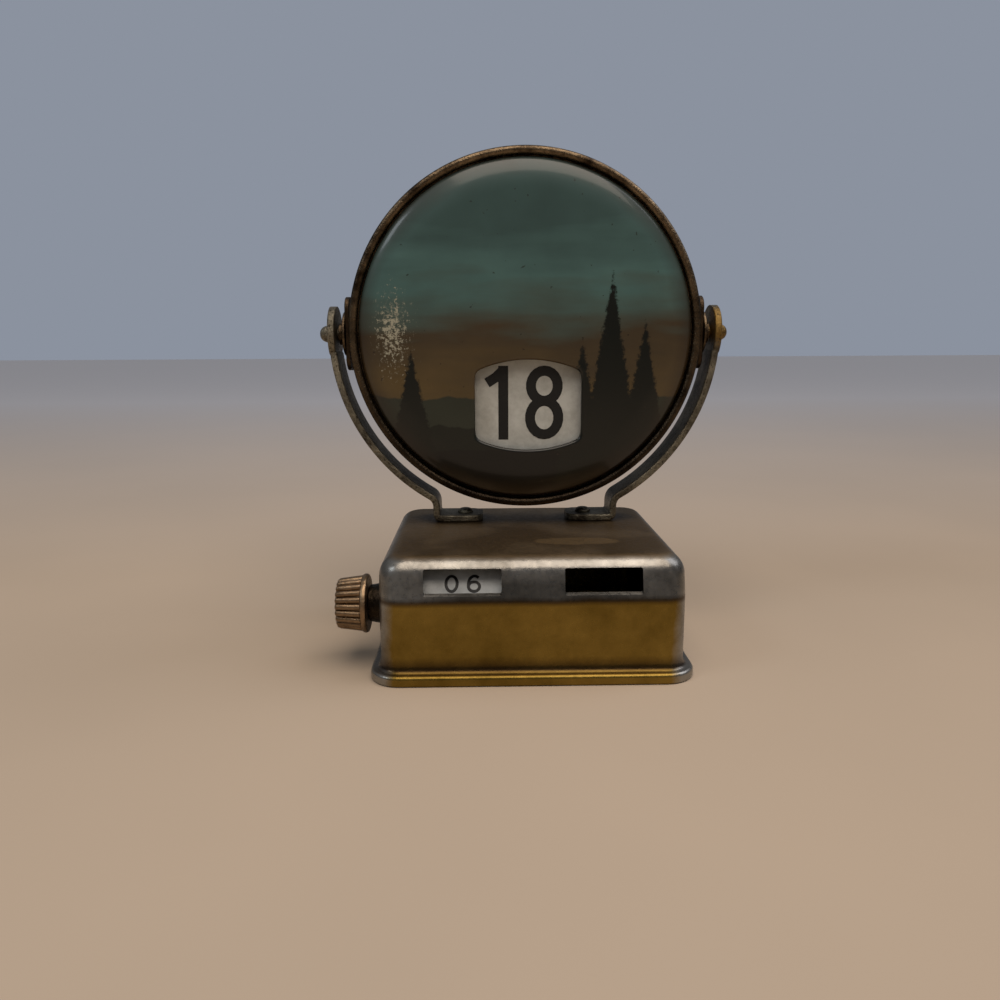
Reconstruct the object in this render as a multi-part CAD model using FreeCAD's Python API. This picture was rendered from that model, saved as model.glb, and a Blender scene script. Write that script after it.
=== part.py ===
import FreeCAD, Part
import math
import os
from FreeCAD import Vector

# Perpetual desk calendar: a flip-over drum case in a yoke, on a pressed base with a month drum.
# Millimetres. X runs across the front, Y runs to the back, Z is up. The foot stands on z = 0.

# Pressed base
bodyWidth = 46.7
bodyDepth = 41.3
bodyHeight = 19.1
baseSheet = 0.5
cornerRadius = 3.2
sideShoulder = 3.0
rearShoulder = 3.0
frontBend = 1.9
bandHeight = 6.4
slantSetback = 1.7
footOverhang = 1.6
footLip = 1.7
flareRadius = 1.3
footEdgeRound = 0.6
bottomSheet = 0.8
bottomRecess = 0.4
bottomClearance = 0.1
bottomTabLength = 4.0
bottomTabReach = 2.2

# Month and weekday windows in the slanted band
windowWidth = 11.7
windowHeight = 3.6
windowMiddleX = 10.6
windowRise = 3.1
windowCutDepth = 8.0

# Month drum and its knob
drumClearance = 0.82
drumFrontClearance = 0.67
drumWidth = 14.2
drumWall = 0.5
drumHubRadius = 2.2
stripThickness = 0.15
stripClearance = 0.03
axleRadius = 1.2
runningClearance = 0.05
knobFlangeRadius = 4.7
knobFlangeWidth = 1.2
knobGripRadius = 4.5
knobGripTaper = 0.55
knobGripLength = 4.5
knobEndDish = 0.5
knobFlutes = 22
knobFluteRadius = 0.42
bushLength = 1.5
bushRadius = 3.3
bushTaper = 0.5
bushSpigotRadius = 2.0
bushBack = 0.6
knobClearance = 0.15
collarRadius = 2.6
collarWidth = 2.8
bracketSheet = 0.8
bracketAboveAxis = 4.9
bracketDepth = 13.0
bracketFootWidth = 7.0
bracketHead = 3.4
springSheet = 0.3
springWidth = 2.4
springAboveAxis = 2.9
springFoot = 4.6
springGap = 0.3
rivetRadius = 0.9
rivetHeadRadius = 1.4
rivetHeadHeight = 0.8

# Yoke arms
pivotY = 9.3
pivotZ = 52.3
armThickness = 1.2
armWidth = 7.0
armGap = 2.5
armSweep = 59.5
armFootReach = 9.6
armFootRivet = 6.4
armKneeRadius = 1.0
armFootBend = 0.5
earRadius = 4.7
screwRadius = 1.2
screwHeadRadius = 1.5
screwHeadHeight = 2.0
screwSlotWidth = 0.45
screwSlotDepth = 0.6

# Drum case
caseRadius = 30.05
rimBead = 0.7
beadSides = 12
hoopWall = 0.6
coverGroove = 0.3
coverSheet = 0.5
coverBulge = 2.0
coverSkirt = 1.2
coverClearance = 0.15
ledgeHeight = 0.6
ringWire = 0.22
wireSides = 6
dateWindowWidth = 18.2
dateWindowHeight = 15.4
dateWindowSide = 11.4
dateWindowDrop = 12.2
dateWindowShift = 0.4
windowLipWidth = 0.45
windowLipDepth = 0.5

# Pivot fittings on the case
pivotPlateLength = 12.5
pivotPlateWidth = 6.4
pivotPlateSheet = 0.7
pivotPlateStand = 0.6
bushBarrel = 1.9
bushFlangeClearance = 0.12
bushFlangeSheet = 0.8
washerSheet = 0.5
washerRadius = 3.8

# Date plates and their chute
plateWidth = 20.0
plateHeight = 17.0
plateThickness = 0.52
plateGap = 0.036
plateCount = 16
plateCorner = 1.0
guideSheet = 0.8
guideClearance = 0.15
guideInset = 0.05
stopClearance = 0.05
stopSheet = 0.6

# Worked out from the sizes above
bodyFront = -bodyDepth / 2
creaseHeight = bodyHeight - bandHeight
windowMiddleZ = creaseHeight + windowRise
slantAngle = math.atan2(slantSetback, bodyHeight - creaseHeight)
wallX = -bodyWidth / 2
stackDepth = plateCount * plateThickness + (plateCount - 1) * plateGap
coverPlane = stackDepth / 2 + coverClearance
coverRadius = caseRadius - 2 * rimBead - coverGroove
hoopRadius = caseRadius - rimBead * 0.65
armInner = caseRadius + armGap
armOuter = armInner + armThickness
plateFront = hoopRadius + pivotPlateStand
plateOuter = plateFront + pivotPlateSheet
bottomTop = bottomRecess + bottomSheet
stripRadius = (bodyHeight - baseSheet - bottomTop) / 2 - drumClearance
drumRadius = stripRadius - stripThickness - stripClearance
drumAxisY = bodyFront + baseSheet + drumFrontClearance + stripRadius
drumAxisZ = bottomTop + drumClearance + stripRadius
bracketHeight = drumAxisZ - bottomTop + bracketAboveAxis
springHeight = drumAxisZ - bottomTop + springAboveAxis
plateTravel = 2 * dateWindowDrop
axisX = Vector(1, 0, 0)
axisY = Vector(0, 1, 0)
axisZ = Vector(0, 0, 1)
pivot = Vector(0, pivotY, pivotZ)
drumAxis = Vector(0, drumAxisY, drumAxisZ)


def roundedFace(corners, place):
    """A flat face from corners (u, v, radius), each rounded by its own arc."""
    tangents = []
    count = len(corners)
    for i, (u, v, radius) in enumerate(corners):
        before = Vector(*corners[i - 1][:2], 0)
        here = Vector(u, v, 0)
        after = Vector(*corners[(i + 1) % count][:2], 0)
        toBefore = (before - here).normalize()
        toAfter = (after - here).normalize()
        half = math.acos(max(-1, min(1, toBefore.dot(toAfter)))) / 2
        if radius <= 0:
            tangents.append((here, None, here))
            continue
        reach = radius / math.tan(half)
        middle = (toBefore + toAfter).normalize()
        centre = here + middle * (radius / math.sin(half))
        tangents.append((here + toBefore * reach, centre - middle * radius, here + toAfter * reach))
    edges = []
    for i, (start, arc, end) in enumerate(tangents):
        if arc is not None:
            edges.append(Part.Arc(place(start), place(arc), place(end)).toShape())
        following = tangents[(i + 1) % count][0]
        if (following - end).Length > 1e-6:
            edges.append(Part.LineSegment(place(end), place(following)).toShape())
    return Part.Face(Part.Wire(edges))


def inXY(z):
    return lambda p: Vector(p.x, p.y, z)


def inXZ(y):
    return lambda p: Vector(p.x, y, p.y)


def inYZ(x):
    return lambda p: Vector(x, p.x, p.y)


def roundedSlab(width, depth, radius, low, high):
    """An upright slab with rounded vertical corners, centred on X and Y."""
    w, d = width / 2, depth / 2
    face = roundedFace([(-w, -d, radius), (w, -d, radius), (w, d, radius), (-w, d, radius)], inXY(low))
    return face.extrude(Vector(0, 0, high - low))


def rod(radius, length, start, direction):
    return Part.makeCylinder(radius, length, start, direction)


def ring(outer, inner, length, start, direction):
    return rod(outer, length, start, direction).cut(rod(inner, length, start, direction))


def revolved(points, centre, direction, radial):
    """A solid of revolution from (distance along, radius) points about an axis."""
    corners = [centre + direction * along + radial * radius for along, radius in points]
    face = Part.Face(Part.makePolygon(corners + corners[:1]))
    return face.revolve(centre, direction, 360)


def rolledRing(radius, section, centre, sides):
    # A ring of near-round section, made of narrow bands so that it stays light.
    turns = [2 * math.pi * i / sides for i in range(sides)]
    points = [(section * math.sin(turn), radius + section * math.cos(turn)) for turn in turns]
    return revolved(points, centre, axisY, axisZ)


def mirroredX(shape):
    return shape.mirror(Vector(0, 0, 0), axisX)


def flipped(shape):
    """The same piece turned half way round the case pivot."""
    copy = shape.copy()
    copy.rotate(pivot, axisX, 180)
    return copy


def bodyForm(inset, low):
    """The pressed body: side profile, front profile and plan, each cut back by inset."""
    front = bodyFront + inset
    rear = bodyDepth / 2 - inset
    top = bodyHeight - inset
    half = bodyWidth / 2 - inset
    crease = creaseHeight - inset * math.tan(slantAngle / 2)
    frontTop = bodyFront + slantSetback + inset / math.cos(slantAngle) - inset * math.tan(slantAngle)
    side = roundedFace([(front, low, 0), (rear, low, 0), (rear, top, rearShoulder - inset),
                        (frontTop, top, frontBend - inset), (front, crease, 0)], inYZ(-half - 1))
    across = roundedFace([(-half, low, 0), (half, low, 0), (half, top, sideShoulder - inset),
                          (-half, top, sideShoulder - inset)], inXZ(-bodyDepth))
    plan = roundedSlab(2 * half, rear - front, cornerRadius - inset, low, top + 1)
    return side.extrude(Vector(2 * half + 2, 0, 0)).common(across.extrude(Vector(0, 2 * bodyDepth, 0))).common(plan)


def flaredFoot():
    """The turned-out foot: a rounded lip with a concave flare up to the body."""
    width = bodyWidth + 2 * footOverhang
    depth = bodyDepth + 2 * footOverhang
    lip = roundedSlab(width, depth, cornerRadius + footOverhang, 0, footLip)
    rim = [e for e in lip.Edges if min(v.Z for v in e.Vertexes) > footLip - 0.01]
    lip = lip.makeFillet(footEdgeRound, rim)
    steps = 6
    wires = []
    for i in range(steps + 1):
        angle = math.pi / 2 * i / steps
        out = flareRadius * (1 - math.sin(angle))
        z = footLip - 0.05 + (flareRadius + 0.05) * (1 - math.cos(angle))
        w, d = bodyWidth / 2 + out, bodyDepth / 2 + out
        r = cornerRadius + out
        corners = [(-w, -d, r), (w, -d, r), (w, d, r), (-w, d, r)]
        wires.append(roundedFace(corners, inXY(z)).OuterWire)
    return lip.fuse(Part.makeLoft(wires, True, True))


def windowCut(middleX):
    """A slot through the slanted band, square to the band."""
    corner = Vector(-windowWidth / 2, -windowCutDepth / 2, -windowHeight / 2)
    slot = Part.makeBox(windowWidth, windowCutDepth, windowHeight, corner)
    slot.rotate(Vector(0, 0, 0), axisX, -math.degrees(slantAngle))
    bandY = bodyFront + (windowMiddleZ - creaseHeight) * math.tan(slantAngle)
    slot.translate(Vector(middleX, bandY, windowMiddleZ))
    return slot


def makeBaseShell():
    outer = bodyForm(0, 0).fuse(flaredFoot()).removeSplitter()
    shell = outer.cut(bodyForm(baseSheet, -1))
    recess = roundedSlab(bodyWidth + footOverhang, bodyDepth + footOverhang, cornerRadius, -1, bottomTop)
    shell = shell.cut(recess)
    for side in (-1, 1):
        shell = shell.cut(windowCut(side * windowMiddleX))
        hole = rod(bushSpigotRadius, 4 * baseSheet, drumAxis + axisX * side * (bodyWidth / 2 - 2 * baseSheet),
                   axisX * side)
        shell = shell.cut(hole)
        footX = side * (armOuter * math.cos(math.radians(armSweep)) - armFootRivet)
        shell = shell.cut(rod(rivetRadius, 2, Vector(footX, pivotY, bodyHeight - 1), axisZ))
    for sx in (-1, 1):
        for sy in (-1, 1):
            wall = (bodyWidth + footOverhang) / 2
            x = -wall - 0.2 if sx < 0 else wall + 0.2 - bottomTabReach
            y = sy * bodyDepth / 4 - bottomTabLength / 2
            tab = Part.makeBox(bottomTabReach, bottomTabLength, bottomRecess, Vector(x, y, 0))
            shell = shell.fuse(tab)
    return shell.removeSplitter()


def makeBottomPlate():
    width = bodyWidth + footOverhang - 2 * bottomClearance
    depth = bodyDepth + footOverhang - 2 * bottomClearance
    plate = roundedSlab(width, depth, cornerRadius - bottomClearance, bottomRecess, bottomTop)
    for place in bracketRivetPlaces() + [springRivetPlace()]:
        plate = plate.cut(rod(rivetRadius, bottomTop, Vector(place.x, place.y, 0), axisZ))
    return plate


def bracketRivetPlaces():
    x = bracketSheet / 2 + (bracketFootWidth - bracketSheet) / 2
    return [Vector(x, drumAxisY + side * bracketDepth / 4, bottomTop) for side in (-1, 1)]


def makeDrumBracket():
    """An upright ear with a foot, bent from sheet, that carries the inner end of the axle."""
    half = bracketDepth / 2
    top = bottomTop + bracketHeight
    ear = roundedFace([(drumAxisY - half, bottomTop, 0), (drumAxisY + half, bottomTop, 0),
                       (drumAxisY + bracketHead, top, bracketHead - 0.4),
                       (drumAxisY - bracketHead, top, bracketHead - 0.4)], inYZ(-bracketSheet / 2))
    ear = ear.extrude(Vector(bracketSheet, 0, 0))
    foot = Part.makeBox(bracketFootWidth, bracketDepth, bracketSheet,
                        Vector(-bracketSheet / 2, drumAxisY - half, bottomTop))
    bracket = ear.fuse(foot).removeSplitter()
    bore = axleRadius + runningClearance
    bracket = bracket.cut(rod(bore, 2 * bracketSheet, drumAxis - axisX * bracketSheet, axisX))
    for place in bracketRivetPlaces():
        bracket = bracket.cut(rod(rivetRadius, 2 * bracketSheet, place, axisZ))
    return bracket


def rivet(place, low, high):
    """A domed rivet set through z = low to z = high, with a flat tail head below."""
    shank = rod(rivetRadius, high - low, Vector(place.x, place.y, low), axisZ)
    tail = rod(rivetHeadRadius, 0.3, Vector(place.x, place.y, low - 0.3), axisZ)
    ball = (rivetHeadRadius ** 2 + rivetHeadHeight ** 2) / (2 * rivetHeadHeight)
    dome = Part.makeSphere(ball, Vector(place.x, place.y, high + rivetHeadHeight - ball))
    dome = dome.common(rod(rivetHeadRadius, rivetHeadHeight, Vector(place.x, place.y, high), axisZ))
    return shank.fuse(tail).fuse(dome).removeSplitter()


def makeBracketRivets():
    high = bottomTop + bracketSheet
    return Part.makeCompound([rivet(place, bottomRecess, high) for place in bracketRivetPlaces()])


def springX():
    return -bracketSheet / 2 - collarWidth / 2 - runningClearance * 4


def springLine():
    return drumAxisY + collarRadius + springGap


def springRivetPlace():
    return Vector(springX(), springLine() + springSheet + springFoot / 2, bottomTop)


def makeFrictionSpring():
    """A leaf that rises from the bottom plate and bears lightly on the axle collar."""
    y = springLine()
    x = springX() - springWidth / 2
    low = bottomTop
    bend = 1.0
    points = [(y, low + springHeight, 0), (y, low, bend), (y + springFoot + springSheet, low, 0),
              (y + springFoot + springSheet, low + springSheet, 0),
              (y + springSheet, low + springSheet, bend - springSheet), (y + springSheet, low + springHeight, 0)]
    leaf = roundedFace(points, inYZ(x)).extrude(Vector(springWidth, 0, 0))
    return leaf.cut(rod(rivetRadius, 1, springRivetPlace(), axisZ))


def makeSpringRivet():
    return rivet(springRivetPlace(), bottomRecess, bottomTop + springSheet)


def makeWallBush():
    """The turned collar in the left wall that the knob runs against."""
    outer = wallX - bushLength
    points = [(outer, bushRadius - bushTaper), (wallX, bushRadius), (wallX, bushSpigotRadius),
              (wallX + baseSheet + bushBack, bushSpigotRadius),
              (wallX + baseSheet + bushBack, axleRadius + runningClearance), (outer, axleRadius + runningClearance)]
    return revolved(points, drumAxis, axisX, axisZ)


def knobInnerX():
    return wallX - bushLength - knobClearance


def makeMonthKnob():
    """A turned thumb knob with a flange and a tapered fluted grip."""
    inner = knobInnerX()
    shoulder = inner - knobFlangeWidth
    end = shoulder - knobGripLength
    edge = 0.5
    points = [(inner, axleRadius), (inner, knobFlangeRadius - 0.3), (inner - 0.3, knobFlangeRadius),
              (shoulder + 0.2, knobFlangeRadius), (shoulder, knobGripRadius),
              (end + edge, knobGripRadius - knobGripTaper), (end, knobGripRadius - knobGripTaper - edge),
              (end + knobEndDish, 0.01), (end + 2, 0.01), (end + 2, axleRadius)]
    knob = revolved(points, drumAxis, axisX, axisZ)
    lean = math.degrees(math.atan2(knobGripTaper, knobGripLength))
    cutters = []
    for i in range(knobFlutes):
        flute = rod(knobFluteRadius, knobGripLength + 1, Vector(shoulder, 0, knobGripRadius), axisX * -1)
        flute.rotate(Vector(shoulder, 0, knobGripRadius), axisY, -lean)
        flute.rotate(Vector(0, 0, 0), axisX, 360 * i / knobFlutes)
        flute.translate(drumAxis)
        cutters.append(flute)
    return knob.cut(Part.makeCompound(cutters))


def makeMonthAxle():
    start = knobInnerX() - knobFlangeWidth - knobGripLength + 2
    return rod(axleRadius, bracketSheet - start, drumAxis + axisX * start, axisX)


def makeMonthDrum():
    """A stamped cup with a hub: the band carries the month strip."""
    left = -windowMiddleX - drumWidth / 2
    right = left + drumWidth
    points = [(left, axleRadius), (left, drumRadius), (right, drumRadius), (right, drumRadius - drumWall),
              (left + drumWall, drumRadius - drumWall), (left + drumWall, drumHubRadius),
              (right - 1, drumHubRadius), (right - 1, axleRadius)]
    return revolved(points, drumAxis, axisX, axisZ)


def makeMonthStrip():
    inner = drumRadius + stripClearance
    start = drumAxis - axisX * (windowMiddleX + drumWidth / 2 - 0.3)
    return ring(inner + stripThickness, inner, drumWidth - 0.6, start, axisX)


def makeAxleCollar():
    start = drumAxis - axisX * (bracketSheet / 2 + collarWidth + runningClearance * 4)
    return ring(collarRadius, axleRadius, collarWidth, start, axisX)


def edgesAt(shape, places):
    # Edges along Y that pass through the given X and Z.
    found = []
    for edge in shape.Edges:
        ends = [v.Point for v in edge.Vertexes]
        if len(ends) == 2 and (ends[0] - ends[1]).cross(axisY).Length < 1e-6:
            found += [edge for place in places if (Vector(ends[0].x, 0, ends[0].z) - place).Length < 0.01]
    return found


def makeRightArm():
    """A strip bent round the case, with a round ear above and a tab turned in below."""
    sweep = math.radians(armSweep)
    footX = armOuter * math.cos(sweep)
    innerX = footX - armThickness
    outerMid = Vector(armOuter * math.cos(sweep / 2), 0, pivotZ - armOuter * math.sin(sweep / 2))
    innerMid = Vector(armInner * math.cos(sweep / 2), 0, pivotZ - armInner * math.sin(sweep / 2))
    earTop = Vector(armOuter, 0, pivotZ + earRadius)
    earFoot = Vector(armOuter, 0, pivotZ)
    outerKnee = Vector(footX, 0, pivotZ - armOuter * math.sin(sweep))
    heel = Vector(footX, 0, bodyHeight)
    tip = Vector(footX - armFootReach, 0, bodyHeight)
    innerHeel = Vector(innerX, 0, bodyHeight + armThickness)
    innerKnee = Vector(innerX, 0, pivotZ - math.sqrt(armInner ** 2 - innerX ** 2))
    innerFoot = earFoot - axisX * armThickness
    line = lambda p, q: Part.LineSegment(p, q).toShape()
    edges = [line(earTop, earFoot), Part.Arc(earFoot, outerMid, outerKnee).toShape(), line(outerKnee, heel),
             line(heel, tip), line(tip, tip + axisZ * armThickness), line(tip + axisZ * armThickness, innerHeel),
             line(innerHeel, innerKnee), Part.Arc(innerKnee, innerMid, innerFoot).toShape(),
             line(innerFoot, earTop - axisX * armThickness), line(earTop - axisX * armThickness, earTop)]
    strip = Part.Face(Part.Wire(edges)).extrude(Vector(0, 2 * earRadius, 0))
    for places, radius in (([outerKnee], armKneeRadius), ([innerKnee], armKneeRadius + armThickness),
                           ([heel], armFootBend + armThickness), ([innerHeel], armFootBend)):
        strip = strip.makeFillet(radius, edgesAt(strip, places))
    strip.translate(Vector(0, pivotY - earRadius, 0))
    # The strip is as wide as armWidth, and opens into the round ear at the pivot.
    reach = 2 * armOuter
    outline = Part.makeBox(reach, armWidth, pivotZ, Vector(0, pivotY - armWidth / 2, 0))
    outline = outline.fuse(rod(earRadius, reach, Vector(0, pivotY, pivotZ), axisX))
    arm = strip.common(outline)
    hole = screwRadius + runningClearance
    arm = arm.cut(rod(hole, 2 * armThickness, pivot + axisX * (armInner - 0.5), axisX))
    place = Vector(footX - armFootRivet, pivotY, bodyHeight)
    return arm.cut(rod(rivetRadius, 2 * armThickness, place, axisZ))


def makeFootRivets():
    footX = armOuter * math.cos(math.radians(armSweep)) - armFootRivet
    right = rivet(Vector(footX, pivotY, 0), bodyHeight - baseSheet, bodyHeight + armThickness)
    return Part.makeCompound([mirroredX(right), right])


def makePivotScrews():
    """Round-headed pivot screws with a driver slot."""
    ball = (screwHeadRadius ** 2 + screwHeadHeight ** 2) / (2 * screwHeadHeight)
    headEnd = armOuter + screwHeadHeight
    head = Part.makeSphere(ball, pivot + axisX * (headEnd - ball))
    head = head.common(rod(screwHeadRadius, screwHeadHeight, pivot + axisX * armOuter, axisX))
    slot = Part.makeBox(screwSlotDepth, screwSlotWidth, 4 * screwHeadRadius,
                        Vector(headEnd - screwSlotDepth, pivotY - screwSlotWidth / 2, pivotZ - 2 * screwHeadRadius))
    start = hoopRadius - hoopWall - bushFlangeSheet
    shank = rod(screwRadius, armOuter - start, pivot + axisX * start, axisX)
    right = head.cut(slot).fuse(shank).removeSplitter()
    return Part.makeCompound([mirroredX(right), right])


def makeCaseHoop():
    """The band of the case with a rolled bead on each edge and a ledge inside for each cover."""
    band = ring(hoopRadius, hoopRadius - hoopWall, 2 * coverPlane, pivot - axisY * coverPlane, axisY)
    beadRadius = caseRadius - rimBead
    for side in (-1, 1):
        band = band.fuse(rolledRing(beadRadius, rimBead, pivot + axisY * side * coverPlane, beadSides))
        seat = coverPlane - coverSkirt
        start = seat - ledgeHeight if side > 0 else -seat
        band = band.fuse(ring(hoopRadius - hoopWall / 2, coverRadius - coverSheet - 0.4, ledgeHeight,
                              pivot + axisY * start, axisY))
    barrel = bushBarrel + runningClearance
    hole = rod(barrel, 2 * armOuter, pivot - axisX * armOuter, axisX)
    return band.cut(hole).removeSplitter()


def dateWindowFace(grow, y):
    """The barrel-shaped date opening: straight sides, arched head and sill."""
    half = dateWindowWidth / 2 + grow
    side = dateWindowSide / 2 + grow * 0.8
    rise = dateWindowHeight / 2 + grow
    x, z = dateWindowShift, pivotZ - dateWindowDrop
    corners = [Vector(x - half, y, z - side), Vector(x + half, y, z - side),
               Vector(x + half, y, z + side), Vector(x - half, y, z + side)]
    edges = [Part.Arc(corners[0], Vector(x, y, z - rise), corners[1]).toShape(),
             Part.LineSegment(corners[1], corners[2]).toShape(),
             Part.Arc(corners[2], Vector(x, y, z + rise), corners[3]).toShape(),
             Part.LineSegment(corners[3], corners[0]).toShape()]
    return Part.Face(Part.Wire(edges))


def domeBall(sink):
    """The ball that the cover's face is cut from, sunk by the sheet for its inner side."""
    ball = (coverRadius ** 2 + coverBulge ** 2) / (2 * coverBulge)
    centre = pivot + axisY * (ball - coverPlane - coverBulge)
    return Part.makeSphere(ball - sink, centre, axisY, -90, 90, 360)


def makeFrontCover():
    """A shallow pressed dome with a skirt, and a turned-in lip round the date window."""
    start = pivot - axisY * (coverPlane + coverBulge + 1)
    deep = coverBulge + 1 + coverSkirt
    outer = rod(coverRadius, deep, start, axisY).common(domeBall(0))
    inner = rod(coverRadius - coverSheet, deep + 1, start, axisY).common(domeBall(coverSheet))
    cover = outer.cut(inner)
    lipFace = dateWindowFace(windowLipWidth, start.y)
    lip = lipFace.extrude(Vector(0, deep, 0))
    lip = lip.common(domeBall(0.05)).cut(domeBall(coverSheet + windowLipDepth))
    cover = cover.fuse(lip)
    return cover.cut(dateWindowFace(0, start.y).extrude(Vector(0, deep, 0))).removeSplitter()


def makeFrontRetainingRing():
    """The wire snap ring in the groove between the cover and the bead."""
    radius = coverRadius + ringWire + 0.02
    centre = pivot - axisY * (coverPlane - coverSkirt + ringWire)
    return rolledRing(radius, ringWire, centre, wireSides)


def makeRightPivotPlate():
    """The flat plate with round ends that spreads the pivot's load on the band."""
    long, wide = pivotPlateLength / 2, pivotPlateWidth / 2
    face = roundedFace([(pivotY - wide, pivotZ - long, wide * 0.7), (pivotY + wide, pivotZ - long, wide * 0.7),
                        (pivotY + wide, pivotZ + long, wide * 0.7), (pivotY - wide, pivotZ + long, wide * 0.7)],
                       inYZ(plateFront))
    plate = face.extrude(Vector(pivotPlateSheet, 0, 0))
    return plate.cut(rod(bushBarrel + runningClearance, 2, pivot + axisX * (plateFront - 0.5), axisX))


def makePivotBushes():
    """Flanged bushes through the band: the pivot screws run in them."""
    flangeStart = hoopRadius - hoopWall - 0.3 - bushFlangeSheet
    end = armInner - 0.3
    flange = coverPlane - coverSkirt - ledgeHeight - bushFlangeClearance
    right = rod(flange, bushFlangeSheet, pivot + axisX * flangeStart, axisX)
    right = right.fuse(rod(bushBarrel, end - flangeStart, pivot + axisX * flangeStart, axisX))
    right = right.cut(rod(screwRadius + runningClearance, end, pivot + axisX * (flangeStart - 1), axisX))
    return Part.makeCompound([mirroredX(right), right])


def makeFrictionWashers():
    right = ring(washerRadius, bushBarrel + runningClearance, washerSheet, pivot + axisX * plateOuter, axisX)
    return Part.makeCompound([mirroredX(right), right])


def makeRightGuide():
    x = plateWidth / 2 + guideClearance
    deep = stackDepth - 2 * guideInset
    tall = plateTravel + plateHeight + 2 * stopClearance + 2 * stopSheet
    return Part.makeBox(guideSheet, deep, tall, Vector(x, pivotY - deep / 2, pivotZ - tall / 2))


def makeUpperStop():
    z = dateWindowDrop + plateHeight / 2 + stopClearance
    width = plateWidth + 2 * guideClearance
    deep = stackDepth - 2 * guideInset
    return Part.makeBox(width, deep, stopSheet, Vector(-width / 2, pivotY - deep / 2, pivotZ + z))


def datePlate(index):
    w, h = plateWidth / 2, plateHeight / 2
    z = pivotZ - dateWindowDrop
    corners = [(-w, z - h, plateCorner), (w, z - h, plateCorner), (w, z + h, plateCorner), (-w, z + h, plateCorner)]
    y = pivotY - stackDepth / 2 + index * (plateThickness + plateGap)
    return roundedFace(corners, inXZ(y)).extrude(Vector(0, plateThickness, 0))


def makeDateStack():
    return Part.makeCompound([datePlate(i) for i in range(1, plateCount)])


def buildAll():
    rightArm = makeRightArm()
    frontCover = makeFrontCover()
    frontRing = makeFrontRetainingRing()
    rightPlate = makeRightPivotPlate()
    rightGuide = makeRightGuide()
    upperStop = makeUpperStop()
    return {
        "base_shell": makeBaseShell(),
        "bottom_plate": makeBottomPlate(),
        "drum_bracket": makeDrumBracket(),
        "bracket_rivets": makeBracketRivets(),
        "friction_spring": makeFrictionSpring(),
        "spring_rivet": makeSpringRivet(),
        "wall_bush": makeWallBush(),
        "left_arm": mirroredX(rightArm),
        "right_arm": rightArm,
        "foot_rivets": makeFootRivets(),
        "pivot_screws": makePivotScrews(),
        "month_knob": makeMonthKnob(),
        "month_axle": makeMonthAxle(),
        "month_drum": makeMonthDrum(),
        "month_strip": makeMonthStrip(),
        "axle_collar": makeAxleCollar(),
        "case_hoop": makeCaseHoop(),
        "front_cover": frontCover,
        "rear_cover": flipped(frontCover),
        "front_retaining_ring": frontRing,
        "rear_retaining_ring": flipped(frontRing),
        "left_pivot_plate": mirroredX(rightPlate),
        "right_pivot_plate": rightPlate,
        "pivot_bushes": makePivotBushes(),
        "friction_washers": makeFrictionWashers(),
        "left_plate_guide": mirroredX(rightGuide),
        "right_plate_guide": rightGuide,
        "upper_plate_stop": upperStop,
        "lower_plate_stop": flipped(upperStop),
        "date_plate_front": datePlate(0),
        "date_plate_stack": makeDateStack(),
    }


os.makedirs("parts", exist_ok=True)
for name, shape in buildAll().items():
    shape.exportStep("parts/" + name + ".step")
    print(name, shape.isValid(), len(shape.Solids), round(shape.Volume, 2))
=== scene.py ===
import math
from functools import partial
import bpy
import bmesh
from mathutils import Matrix, Vector


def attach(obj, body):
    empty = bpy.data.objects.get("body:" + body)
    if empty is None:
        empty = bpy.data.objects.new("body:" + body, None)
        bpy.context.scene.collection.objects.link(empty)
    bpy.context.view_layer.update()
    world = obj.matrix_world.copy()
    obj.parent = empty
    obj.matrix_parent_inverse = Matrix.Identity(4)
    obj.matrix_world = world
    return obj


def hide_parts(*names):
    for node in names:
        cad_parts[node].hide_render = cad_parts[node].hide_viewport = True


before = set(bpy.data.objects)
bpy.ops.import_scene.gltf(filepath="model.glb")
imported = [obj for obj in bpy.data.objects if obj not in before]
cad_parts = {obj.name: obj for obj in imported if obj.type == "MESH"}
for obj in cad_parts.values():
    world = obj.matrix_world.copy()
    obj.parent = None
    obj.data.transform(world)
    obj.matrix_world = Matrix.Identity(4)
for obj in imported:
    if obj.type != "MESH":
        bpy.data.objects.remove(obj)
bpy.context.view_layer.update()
print("calendar: frame loaded")

mm = 0.001
pivot = Vector((0, 9.3, 52.3))  # centre of the case, on the pivot screws' axis
drumAxis = Vector((0, -11.6, 9.9))  # centre line of the month drum and its knob
axisX, axisY, axisZ = Vector((1, 0, 0)), Vector((0, 1, 0)), Vector((0, 0, 1))


# Colours and small tools

# A hex colour as a linear one.
def tint(code):
    parts = [int(code[i:i + 2], 16) / 255 for i in (1, 3, 5)]
    return tuple(c / 12.92 if c <= 0.04045 else ((c + 0.055) / 1.055) ** 2.4 for c in parts) + (1,)


# Values and links for a node's inputs: a node given as a link means its first output in use.
def fill(tree, node, values=None, links=None):
    for key, value in (values or {}).items():
        node.inputs[key].default_value = value
    for key, source in (links or {}).items():
        if not isinstance(source, bpy.types.NodeSocket):
            source = next(output for output in source.outputs if output.enabled)
        tree.links.new(source, node.inputs[key])


# A shader node goes by its short name, a Mix blends colours, and stops are a ramp's (position, colour) pairs.
def addNode(tree, kind, values=None, links=None, stops=(), **settings):
    node = tree.nodes.new(kind if "Node" in kind else "ShaderNode" + kind)
    if kind == "Mix":
        node.data_type = "RGBA"
    for key, value in settings.items():
        setattr(node, key, value)
    for i, (position, code) in enumerate(stops):
        elements = node.color_ramp.elements
        last = i == len(stops) - 1
        element = elements[0] if i == 0 else elements[-1] if last else elements.new(position)
        element.position, element.color = position, tint(code)
    fill(tree, node, values, links)
    return node


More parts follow.
